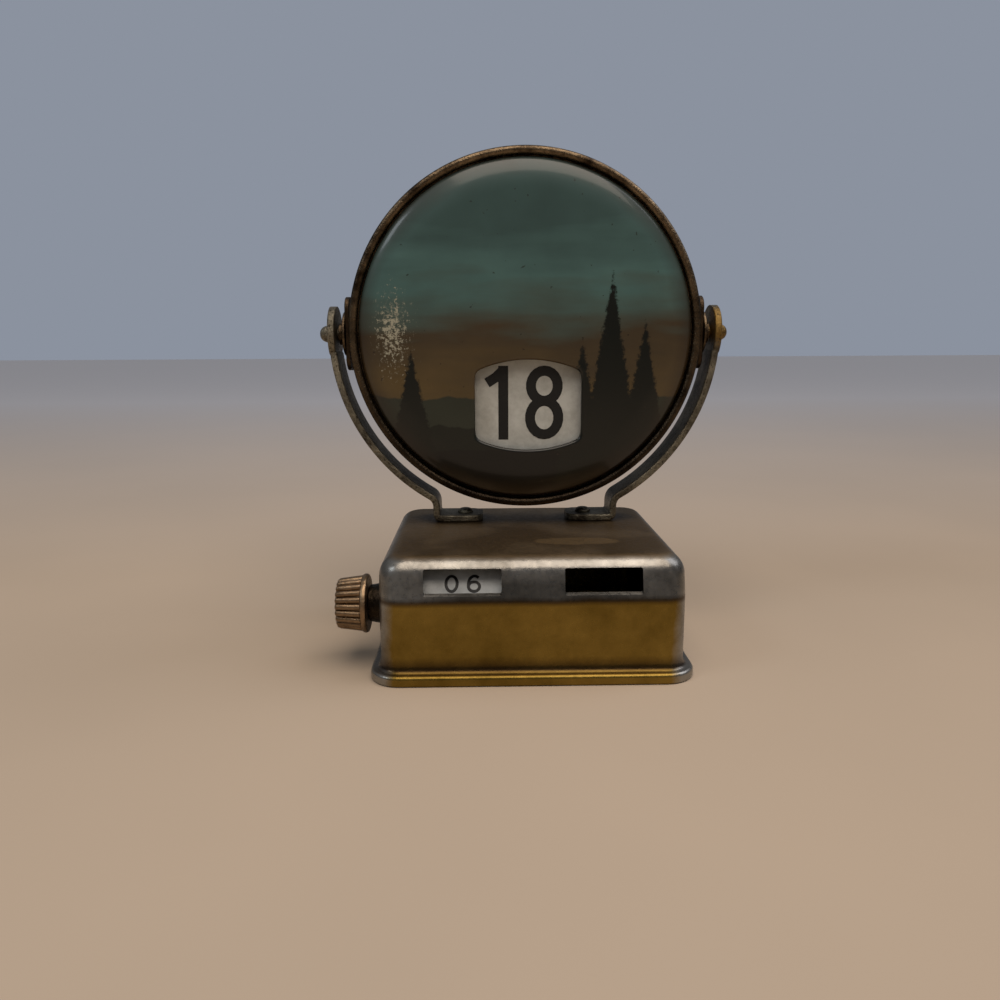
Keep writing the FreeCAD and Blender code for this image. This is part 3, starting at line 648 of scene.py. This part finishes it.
# Middle line of the right arm in X and Z, with the half width at each point.
def armPath():
    s = yokeSizes
    middle = s["inner"] + s["thick"] / 2
    half = s["width"] / 2
    path = []
    for k in range(25):  # the round ear
        a = math.pi / 2 * (1 - k / 24)
        rise = s["ear"] * math.sin(a)
        path.append((Vector((middle, pivot.z + rise)), max(0.02, s["ear"] * math.cos(a))))
    narrow = math.sqrt(s["ear"] ** 2 - half ** 2)
    for k in range(1, 12):  # below the pivot the ear closes to the strip
        drop = narrow * k / 11
        path.append((Vector((middle, pivot.z - drop)), math.sqrt(s["ear"] ** 2 - drop ** 2)))
    startAngle = math.asin(min(1, narrow / middle)) + 0.01
    end = math.radians(s["sweep"]) - s["knee"] * 0.55 / middle
    for k in range(41):
        a = startAngle + (end - startAngle) * k / 40
        path.append((Vector((middle * math.cos(a), pivot.z - middle * math.sin(a))), half))
    corner = math.radians(s["sweep"])
    legX = middle * math.cos(corner)
    kneeZ = pivot.z - middle * math.sin(corner)
    path += [(p, half) for p in bezier(path[-1][0], Vector((legX, kneeZ)),
                                       Vector((legX, kneeZ - s["knee"] * 0.6)), 8)[1:]]
    tabZ = baseSizes["height"] + s["thick"] / 2
    bend = s["footBend"]
    path += [(p, half) for p in bezier(Vector((legX, tabZ + bend)), Vector((legX, tabZ)),
                                       Vector((legX - bend, tabZ)), 8)]
    tip = legX + s["thick"] / 2 - s["footReach"]
    r = s["tabRound"]
    for a in quarter(12):
        path.append((Vector((tip + r - r * math.sin(a), tabZ)), max(0.02, half - r + r * math.cos(a))))
    return path


def makeArm(side):
    s = yokeSizes
    path = armPath()
    rings = []
    for i, (point, half) in enumerate(path):
        last = path[max(0, i - 1)][0]
        following = path[min(len(path) - 1, i + 1)][0]
        along = (following - last).normalized()
        across = Vector((-along.y, along.x))  # points away from the case
        t = s["thick"] / 2
        edge = min(s["edge"], half * 0.6)
        outline = roundRectangle(t, half, edge, 4)
        ring = []
        for p in outline:
            spot = point + across * p.x
            ring.append(Vector((side * spot.x, pivot.y + p.y, spot.y)))
        rings.append(ring)
    return solidLoft(rings)


for side, label in ((-1, "left"), (1, "right")):
    piece(label + "_yoke_arm", makeArm(side), pittedNickel, "base", (label + "_arm",))

screwSizes = {"head": 1.5, "rise": 2.0, "slot": 0.45, "slotDeep": 0.6, "shank": 1.2, "start": 28.2}


# A rounded head from its edge to its crown, as (along, radius).
def domeProfile(base, radius, rise, steps=10):
    points = []
    for a in quarter(steps)[:-1]:
        points.append((base + rise * math.sin(a) ** 0.9, radius * math.cos(a) ** 0.8))
    return points + [(base + rise, 0)]


def makeScrew():
    s = screwSizes
    seat = yokeSizes["inner"] + yokeSizes["thick"]
    profile = [(s["start"], 0), (s["start"], s["shank"]), (seat, s["shank"]), (seat, s["head"] - 0.1)]
    profile += domeProfile(seat + 0.15, s["head"], s["rise"] - 0.15)
    screw = turned(profile, pivot, axisX, 48, closed=False)
    top = seat + s["rise"]
    cutter = bpy.data.meshes.new("slot")
    work = bmesh.new()
    bmesh.ops.create_cube(work, size=1, matrix=Matrix.Translation(Vector((top, pivot.y, pivot.z)) * mm)
                          @ Matrix.Diagonal(Vector((s["slotDeep"] * 2, s["slot"], 6, 1)) * mm
                                            + Vector((0, 0, 0, 1 - mm))))
    work.to_mesh(cutter)
    work.free()
    return cutOut(screw, [cutter])


piece("yoke_screws", pairOf(makeScrew(), pittedNickel), pittedNickel, "base", ("pivot_screws",))

rivetSizes = {"head": 1.4, "rise": 0.8, "x": 10.73}


def makeRivet():
    s = rivetSizes
    seat = baseSizes["height"] + yokeSizes["thick"]
    profile = [(18.2, 0), (18.2, 1.4), (18.5, 1.4), (18.5, 0.9), (seat, 0.9), (seat, s["head"])]
    profile += domeProfile(seat + 0.05, s["head"], s["rise"] - 0.05)
    return turned(profile, Vector((s["x"], pivot.y, 0)), axisZ, 40, closed=False)


piece("yoke_rivets", pairOf(makeRivet(), pittedNickel), pittedNickel, "base", ("foot_rivets",))
print("calendar: yoke bent")


# Drum case

caseSizes = {
    "hoop": 29.595, "wall": 0.6, "bead": 0.7, "beadRing": 29.35, "plane": 4.58, "ledge": 0.6, "skirt": 1.2,
    "cover": 28.35, "bulge": 2.0, "sheet": 0.5, "shoulder": 5.2, "crown": 0.35, "drop": 1.75,
    "snapWire": 0.22, "bore": 1.95,
}
windowSizes = {
    "x": 0.4, "drop": 12.2, "half": 9.1, "side": 5.7, "rise": 7.7, "corner": 0.7, "lip": 0.42,
    "lipDepth": 0.55,
}


def makeHoop():
    s = caseSizes
    inner, outer = s["hoop"] - s["wall"], s["hoop"]
    seat = s["plane"] - s["skirt"]
    ledgeIn = s["cover"] - s["sheet"] - 0.4
    front = []
    # The bead from the inside of the case round to the outside, at the front.
    for k in range(19):
        a = math.radians(-20 + k * 13.6)
        along = -s["plane"] - s["bead"] * math.sin(a)
        front.append((along, s["beadRing"] - s["bead"] * math.cos(a)))
    start, end = front[0], front[-1]
    half = [(-seat + s["ledge"], inner), (-seat + s["ledge"], ledgeIn), (-seat, ledgeIn), (-seat, inner),
            (start[0] + 0.12, inner)] + front + [(end[0] + 0.2, outer)]
    mirrored = [(-along, radius) for along, radius in reversed(half)]
    band = turned(half + mirrored, pivot, axisY, 180)
    return cutOut(band, [drill(-40, 40, s["bore"], pivot)])


# The pressed face: nearly flat in the middle, with a broad rounded shoulder.
def coverY(radius, sink=0.0):
    s = caseSizes
    start = s["cover"] - s["shoulder"]
    y = pivot.y - s["plane"] - s["bulge"] + s["crown"] * (radius / start) ** 2
    over = max(0.0, radius - start) / (s["shoulder"] + 0.001 - sink)
    return y + sink + s["drop"] * (1 - math.sqrt(max(0.0, 1 - min(1.0, over) ** 2)))


# Where a ray from the middle of the date window meets its barrel-shaped edge.
def windowEdge(angle, grow):
    s = windowSizes
    half, side, rise = s["half"] + grow, s["side"] + grow * 0.8, s["rise"] + grow
    ball = (half ** 2 + (rise - side) ** 2) / (2 * (rise - side))
    dx, dz = math.cos(angle), math.sin(angle)
    reach = half / abs(dx) if abs(dx) > 1e-9 else 1e9
    # The arched head has its centre below, on the window's middle line.
    sunk = rise - ball
    b = abs(dz) * sunk
    arch = b + math.sqrt(max(0.0, b * b - sunk * sunk + ball * ball))
    power = 22  # a high mean of the two edges rounds the corner a little
    reach = (reach ** -power + arch ** -power) ** (-1 / power)
    return Vector((s["x"] + dx * reach, -s["drop"] + dz * reach))


def makeCover():
    s, w = caseSizes, windowSizes
    count = 288
    middle = Vector((w["x"], -w["drop"]))
    angles = allRound(count)
    rim = s["cover"] - s["shoulder"]

    def circleEdge(angle, radius):
        d = Vector((math.cos(angle), math.sin(angle)))
        b = middle.dot(d)
        return middle + d * (-b + math.sqrt(b * b - middle.dot(middle) + radius * radius))

    def ring(t, grow, radius, sink, deeper=0.0):
        points = []
        for angle in angles:
            p = windowEdge(angle, grow).lerp(circleEdge(angle, radius), t)
            points.append(Vector((p.x, coverY(p.length, sink) + deeper, pivot.z + p.y)))
        return points

    rings = []
    # Window lip: from the inner side, through the opening, rolled on to the face.
    rings.append(ring(0, 0.10, rim, s["sheet"], w["lipDepth"] - 0.1))
    rings.append(ring(0, 0.0, rim, s["sheet"], w["lipDepth"] - 0.2))
    rings.append(ring(0, 0.0, rim, 0, 0.55))
    for a in quarter(5):
        rings.append(ring(0, w["lip"] * (1 - math.cos(a)), rim, 0, w["lip"] * (1 - math.sin(a)) - 0.05))
    rings.append(ring(0, w["lip"] + 0.5, rim, 0))
    for k in range(1, 22):
        t = (k / 21) ** 1.15
        rings.append(ring(t, w["lip"] + 0.5, rim, 0))

    def band(radius, y):
        circle = [circleEdge(angle, radius) for angle in angles]
        rings.append([Vector((p.x, y, pivot.z + p.y)) for p in circle])

    for a in quarter(14)[1:]:
        radius = rim + s["shoulder"] * math.sin(a)
        band(radius, coverY(radius))
    edge = pivot.y - s["plane"] + s["skirt"]
    inside = s["cover"] - s["sheet"]
    band(s["cover"], edge - 0.1)
    band(s["cover"] - 0.1, edge)
    band(inside, edge)
    for a in quarter(8)[::-1]:
        radius = rim + (s["shoulder"] - s["sheet"]) * math.sin(a)
        band(radius, coverY(radius, s["sheet"]))
    for k in range(1, 10):
        rings.append(ring(1 - k / 9, w["lip"] + 0.4, rim, s["sheet"]))
    return tidy(loft(rings, joinEnds=True))


# The same piece turned half way round a line along X.
def turnedOver(mesh, centre=None):
    centre = (centre or pivot) * mm
    spin = Matrix.Translation(centre) @ Matrix.Rotation(math.pi, 4, "X") @ Matrix.Translation(-centre)
    copy = mesh.copy()
    copy.transform(spin)
    return copy


piece("case_band", makeHoop(), agedBrassShadedBelow, "case", ("case_hoop",), sharp=40)
coverMesh = makeCover()
piece("rear_picture_cover", turnedOver(coverMesh), pictureRear, "case", ("rear_cover",), sharp=40)
piece("front_picture_cover", coverMesh, pictureFront, "case", ("front_cover",), sharp=40)


def makeSnapRing(side):
    s = caseSizes
    radius = s["cover"] + s["snapWire"] + 0.02
    place = side * (s["plane"] - s["skirt"] + s["snapWire"])
    profile = [(place + s["snapWire"] * math.sin(a), radius + s["snapWire"] * math.cos(a))
               for a in allRound(10)]
    return turned(profile, pivot, axisY, 144)


piece("front_snap_ring", makeSnapRing(-1), agedBrassShadedBelow, "case", ("front_retaining_ring",))
piece("rear_snap_ring", makeSnapRing(1), agedBrassShadedBelow, "case", ("rear_retaining_ring",))

fittingSizes = {
    "plateLong": 12.5, "plateWide": 6.4, "plateIn": 30.195, "plateSheet": 0.7, "plateRound": 2.2,
    "bevel": 0.15, "washerIn": 30.895, "washerSheet": 0.5, "washer": 3.8, "bore": 1.95,
}


def makePivotPlate(side):
    s = fittingSizes
    rings = []
    for x, cut in ((0, 0), (s["plateSheet"] - s["bevel"], 0), (s["plateSheet"] - 0.04, s["bevel"] * 0.7),
                   (s["plateSheet"], s["bevel"] * 1.6)):
        wide, long = s["plateWide"] / 2 - cut, s["plateLong"] / 2 - cut
        outline = roundRectangle(wide, long, s["plateRound"] - cut, 8)
        rings.append([Vector((side * (s["plateIn"] + x), pivot.y + p.x, pivot.z + p.y)) for p in outline])
    plate = solidLoft(rings)
    return cutOut(plate, [drill(side * 25, side * 35, s["bore"], pivot, 40)])


for side, label in ((-1, "left"), (1, "right")):
    piece(label + "_bearing_plate", makePivotPlate(side), darkFitting, "case", (label + "_pivot_plate",))


def makeWasher():
    s = fittingSizes
    low, high = s["washerIn"], s["washerIn"] + s["washerSheet"]
    profile = [(low, s["bore"]), (low, s["washer"] - 0.1), (low + 0.1, s["washer"]),
               (high - 0.1, s["washer"]), (high, s["washer"] - 0.1), (high, s["bore"])]
    return turned(profile, pivot, axisX, 64)


piece("ear_washers", pairOf(makeWasher(), agedBrassShadedBelow), agedBrassShadedBelow, "case", ("friction_washers",))
print("calendar: case closed")


# Numerals: each digit is a set of strokes in a box one unit wide and one high

def arcLine(cx, cy, rx, ry, start, end, steps=22):
    angles = [math.radians(start + (end - start) * k / steps) for k in range(steps + 1)]
    return [(cx + rx * math.cos(a), cy + ry * math.sin(a)) for a in angles]


digitStrokes = {
    "0": [arcLine(0, 0.5, 0.5, 0.5, 90, 450)],
    "1": [[(0.0, 0.0), (0.0, 1.0)], [(-0.42, 0.855), (-0.26, 0.90), (-0.13, 0.955)]],
    "2": [arcLine(0, 0.72, 0.48, 0.28, 170, -20) + [(0.3, 0.42), (-0.5, 0.0), (0.5, 0.0)]],
    "3": [arcLine(0, 0.755, 0.44, 0.245, 150, -80) + arcLine(0, 0.26, 0.5, 0.26, 80, -150)],
    "4": [[(0.25, 0.0), (0.25, 1.0), (-0.5, 0.28), (0.5, 0.28)]],
    "5": [[(0.42, 1.0), (-0.38, 1.0), (-0.44, 0.56)] + arcLine(0, 0.32, 0.5, 0.32, 130, -150)],
    "6": [arcLine(0, 0.3, 0.5, 0.3, 90, 450), arcLine(0.05, 0.42, 0.55, 0.58, 180, 62)],
    "7": [[(-0.5, 1.0), (0.5, 1.0), (-0.12, 0.0)]],
    "8": [arcLine(0, 0.765, 0.47, 0.235, 90, 450), arcLine(0, 0.265, 0.5, 0.265, 90, 450)],
    "9": [arcLine(0, 0.7, 0.5, 0.3, 90, 450), arcLine(-0.05, 0.58, 0.55, 0.58, 0, -118)],
}


# A flat printed stroke along points, laid on a surface by spot(u, v, height), with square ends.
def strokeMesh(points, width, thick, spot):
    fine = []
    points = [Vector(p) for p in points]
    loop = (points[0] - points[-1]).length < 1e-6
    if not loop:
        points[0] = points[0] + (points[0] - points[1]).normalized() * width / 2
        points[-1] = points[-1] + (points[-1] - points[-2]).normalized() * width / 2
    for (ax, ay), (bx, by) in zip(points, points[1:]):
        steps = max(1, int(math.hypot(bx - ax, by - ay) / (width * 0.5)))
        fine += [Vector((ax + (bx - ax) * k / steps, ay + (by - ay) * k / steps)) for k in range(steps)]
    if not loop:
        fine.append(points[-1])
    rings = []
    for i, here in enumerate(fine):
        last = fine[i - 1] if (i or loop) else here
        following = fine[(i + 1) % len(fine)] if (i + 1 < len(fine) or loop) else here
        ahead, behind = (following - here), (here - last)
        ahead = ahead.normalized() if ahead.length > 1e-9 else behind.normalized()
        behind = behind.normalized() if behind.length > 1e-9 else ahead
        along = (ahead + behind).normalized()
        spread = min(1.6, 1 / max(0.5, along.dot(ahead)))
        across = Vector((-along.y, along.x)) * (width / 2 * spread)
        a, b = here - across, here + across
        rings.append([spot(a.x, a.y, 0), spot(b.x, b.y, 0), spot(b.x, b.y, thick), spot(a.x, a.y, thick)])
    return tidy(loft(rings, joinEnds=loop, capStart=not loop, capEnd=not loop))


def numberMesh(text, centres, size, stroke, thick, spot):
    strokes = []
    for digit, (cx, cy) in zip(text, centres):
        for i, points in enumerate(digitStrokes[digit]):
            placed = [(cx + x * size[0], cy + (y - 0.5) * size[1]) for x, y in points]
            strokes.append(strokeMesh(placed, stroke, thick * (1 + 0.25 * i), spot))
    return joined(strokes)


# Date plate: the number is a film of ink on the front plate, and another on the last one

dateSizes = {
    "shown": "18", "behind": "07", "digitX": (-3.83, 3.28), "digitZ": 40.4, "wide": 4.95, "tall": 11.0,
    "stroke": 1.72, "ink": 0.03, "plate": (20.0, 17.0), "thick": 0.52, "front": 4.87, "round": 1.0,
    "bevel": 0.08,
}


def makeDatePlate():
    s = dateSizes
    rings = []
    for y, cut in ((0, s["bevel"]), (s["bevel"], 0), (s["thick"] - s["bevel"], 0), (s["thick"], s["bevel"])):
        w, h = s["plate"][0] / 2 - cut, s["plate"][1] / 2 - cut
        outline = roundRectangle(w, h, s["round"] - cut, 6)
        middle = pivot.z - windowSizes["drop"]
        rings.append([Vector((p.x, s["front"] + y, middle + p.y)) for p in outline])
    return solidLoft(rings)


def dateNumber(text):
    s = dateSizes
    centres = [(x, s["digitZ"]) for x in s["digitX"]]
    return numberMesh(text, centres, (s["wide"], s["tall"]), s["stroke"], s["ink"],
                      lambda u, v, up: Vector((u, s["front"] - up, v)))


piece("shown_date_plate", makeDatePlate(), dateEnamel, "plates", ("date_plate_front",))
piece("shown_date", dateNumber(dateSizes["shown"]), printInk, "plates")
stackMiddle = Vector((0, pivot.y, pivot.z - windowSizes["drop"]))
piece("next_date_behind", turnedOver(dateNumber(dateSizes["behind"]), stackMiddle), printInk, "plates")


# Month drum: the strip with numbers 01 to 12 round it

stripSizes = {
    "radius": 7.88, "inner": 7.73, "left": -17.4, "right": -3.8, "shownAngle": 38.6, "shownMonth": 6,
    "tall": 2.5, "wide": 1.7, "stroke": 0.46, "gap": 3.4, "middle": -10.6, "ink": 0.02,
}


def makeStrip():
    s = stripSizes
    profile = [(s["left"], s["inner"]), (s["left"], s["radius"]), (s["right"], s["radius"]),
               (s["right"], s["inner"])]
    return turned(profile, drumAxis, axisX, 120)


def makeMonthNumbers():
    s = stripSizes
    numbers = []
    for month in range(1, 13):
        start = math.radians(s["shownAngle"] - 30 * (month - s["shownMonth"]))

        def spot(u, v, up):
            angle = start + v / s["radius"]
            r = s["radius"] + up
            return Vector((s["middle"] + u, drumAxis.y - r * math.cos(angle),
                           drumAxis.z + r * math.sin(angle)))

        centres = [(-s["gap"] / 2, 0), (s["gap"] / 2, 0)]
        size = (s["wide"], s["tall"])
        numbers.append(numberMesh(f"{month:02d}", centres, size, s["stroke"], s["ink"], spot))
    return joined(numbers)


piece("printed_month_strip", makeStrip(), monthCard, "month", ("month_strip",))
piece("month_numbers", makeMonthNumbers(), printInk, "month")


# Knob and its bush

knobSizes = {
    "inner": -25.75, "flange": 4.7, "flangeWidth": 0.95, "grip": 4.45, "taper": 0.5, "length": 4.0,
    "ribs": 22, "rib": 0.5, "core": 0.55, "bush": 3.3, "bushTaper": 0.4, "bushLength": 2.3, "spigot": 1.98,
}


def makeKnobCore():
    s = knobSizes
    a = s["inner"]
    b = a - s["flangeWidth"]
    c = b - s["length"]
    thin, core = s["grip"] - s["taper"], s["core"]
    profile = [(a, 0), (a, s["flange"] - 0.35), (a - 0.1, s["flange"] - 0.1), (a - 0.3, s["flange"]),
               (b + 0.35, s["flange"]), (b + 0.1, s["flange"] - 0.12), (b, s["grip"] - 0.1),
               (b, s["grip"] - core), (c + 0.35, thin - core), (c + 0.08, thin - core - 0.12),
               (c, thin - core - 0.5),
               (c + 0.12, thin - core - 0.8), (c + 0.42, 1.6), (c + 0.5, 0)]
    return turned(profile, drumAxis, axisX, 132, closed=False)


def makeKnobRib():
    s = knobSizes
    b = s["inner"] - s["flangeWidth"]
    rings = []
    for share, swell in ((0.0, 0.8), (0.02, 1.0), (0.3, 1.0), (0.6, 1.0), (0.88, 1.0), (0.94, 0.9),
                         (0.975, 0.7), (0.99, 0.45)):
        out = s["grip"] - s["taper"] * share - s["rib"] * (1 - swell) * 0.9
        rib = s["rib"] * swell
        x = b + 0.02 - s["length"] * share
        centre = drumAxis + Vector((x, 0, out - rib))
        rings.append([centre + Vector((0, rib * math.cos(a), rib * math.sin(a))) for a in allRound(14)])
    return solidLoft(rings)


knobRibs = copiesOf(makeKnobRib(), knobSizes["ribs"], drumAxis, axisX, knobBrass, 0.01)
piece("ribbed_month_knob", joined([makeKnobCore(), knobRibs]), knobBrass, "month", ("month_knob",))


def makeBush():
    s = knobSizes
    wall = -baseSizes["width"] / 2
    out = wall - s["bushLength"]
    profile = [(out, 1.25), (out, s["bush"] - s["bushTaper"] - 0.15),
               (out + 0.12, s["bush"] - s["bushTaper"]), (wall - 0.2, s["bush"] - 0.04),
               (wall, s["bush"] - 0.1), (wall, s["spigot"]),
               (wall + 1.1, s["spigot"]), (wall + 1.1, 1.25)]
    return turned(profile, drumAxis, axisX, 72)


piece("turned_wall_bush", makeBush(), agedBrassShadedBelow, "base", ("wall_bush",))
print("calendar: drum, numbers and knob ready")


# Frame nodes whose shape is right keep it, with their real finish

for finish, nodes in (
        (rolledSteel, ("bottom_plate", "drum_bracket", "bracket_rivets", "spring_rivet", "month_drum",
                       "left_plate_guide", "right_plate_guide", "upper_plate_stop", "lower_plate_stop")),
        (bluedSpring, ("friction_spring", "month_axle")),
        (agedBrassShadedBelow, ("axle_collar", "pivot_bushes")),
        (dateEnamel, ("date_plate_stack",))):
    for node in nodes:
        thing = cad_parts[node]
        for slot in thing.material_slots:
            slot.material = finish


# Floor, light and camera

# Lamps in metres, the camera in millimetres.
stageLook = {
    "floor": "#b7a692", "floorDark": "#b0a08d", "floorFarPaintedLight": "#d6d3d2", "wall": "#8b929f", "world": 0.36,
    "worldLow": "#6f6a66", "worldHigh": "#c9cdd6", "sunEnergy": 0.8, "sunAngle": 38, "sunTint": "#f4f5ff",
    "sunWay": (-0.62, -0.10, -0.72),
    # Name, power, size, place, target and colour.
    "panels": (("room", 0.30, (0.16, 0.12), (-0.40, -0.20, 0.38), (0, 0, 0.04), "#eef6ff"),
               ("ceiling", 1.45, (0.40, 0.36), (0.04, -0.16, 0.42), (0, 0, 0.02), "#ffeedd")),
    "cameraAt": (-6.96, -134.49, 50.38), "ahead": (0.01741, 0.98145, -0.19094), "roll": -0.30, "lens": 28.8,
}


# Matt paper with a faint mottle; painted light makes it paler further off.
def floorMaterial():
    s = stageLook
    material, tree, add, shader = newMaterial("pale matt paper")
    place = objectPlace(add)
    mottle = add("TexNoise", {"Scale": 0.01, "Detail": 3}, {"Vector": place})
    shade = add("ValToRGB", links={0: mottle}, stops=((0.3, s["floorDark"]), (0.7, s["floor"])))
    # Painted light: the floor is painted paler with distance.
    away = add("SeparateXYZ", links={0: place}).outputs[1]
    farther = add("MapRange", {1: 40, 2: 600}, {0: away})
    paintedFarLight = add("Mix", {7: tint(s["floorFarPaintedLight"])}, {0: farther, 6: shade})
    fill(tree, shader, {"Roughness": 0.9, "Specular IOR Level": 0.15}, {"Base Color": paintedFarLight})
    return material


def makeFloor():
    mesh = bpy.data.meshes.new("floor")
    mesh.from_pydata([(-3, -3, 0), (3, -3, 0), (3, 3, 0), (-3, 3, 0)], [], [(0, 1, 2, 3)])
    mesh.materials.append(floorMaterial())
    floor = newObject("floor", mesh)


def makeLamp(name, kind, energy, code, place, aim):
    light = bpy.data.lights.new(name, kind)
    light.energy = energy
    light.color = tint(code)[:3]
    lamp = newObject(name, light)
    lamp.location = place
    lamp.rotation_euler = aim.to_track_quat("-Z", "Y").to_euler()
    return light


# Two soft panels above, and daylight from the right that is even over the whole floor.
def makeLights():
    s = stageLook
    for name, power, size, place, target, code in s["panels"]:
        panel = makeLamp(name, "AREA", power, code, place, Vector(target) - Vector(place))
        panel.shape = "RECTANGLE"
        panel.size, panel.size_y = size
    daylight = makeLamp("daylight", "SUN", s["sunEnergy"], s["sunTint"], (0, 0, 0), Vector(s["sunWay"]))
    daylight.angle = math.radians(s["sunAngle"])


def makeWorld():
    s = stageLook
    world = bpy.data.worlds.new("room")
    bpy.context.scene.world = world
    world.use_nodes = True
    tree = world.node_tree
    tree.nodes.clear()
    add = partial(addNode, tree)
    height = add("SeparateXYZ", links={0: add("TexCoord").outputs["Generated"]}).outputs[2]
    up = add("MapRange", {1: -0.1, 2: 0.8}, {0: height})
    room = add("ValToRGB", links={0: up}, stops=((0.0, s["worldLow"]), (1.0, s["worldHigh"])))
    lit = add("Background", {"Strength": s["world"]}, {"Color": room})
    seen = add("Background", {"Color": tint(s["wall"]), "Strength": 1.0})
    path = add("LightPath").outputs["Is Camera Ray"]
    add("OutputWorld", links={"Surface": add("MixShader", links={0: path, 1: lit, 2: seen})})


# Where the photograph was taken from.
def makeCamera():
    s = stageLook
    ahead = Vector(s["ahead"]).normalized()
    right = ahead.cross(axisZ).normalized()
    up = right.cross(ahead)
    roll = math.radians(s["roll"])
    tiltedRight = right * math.cos(roll) + up * math.sin(roll)
    tiltedUp = up * math.cos(roll) - right * math.sin(roll)
    data = bpy.data.cameras.new("camera")
    data.lens, data.sensor_width = s["lens"], 36
    data.clip_start = 0.005
    camera = newObject("camera", data)
    turn = Matrix((tiltedRight, tiltedUp, -ahead)).transposed()
    camera.matrix_world = Matrix.Translation(Vector(s["cameraAt"]) * mm) @ turn.to_4x4()
    bpy.context.scene.camera = camera


makeFloor()
makeLights()
makeWorld()
makeCamera()
bpy.context.scene.view_settings.view_transform = "Standard"
print("calendar: stage set")
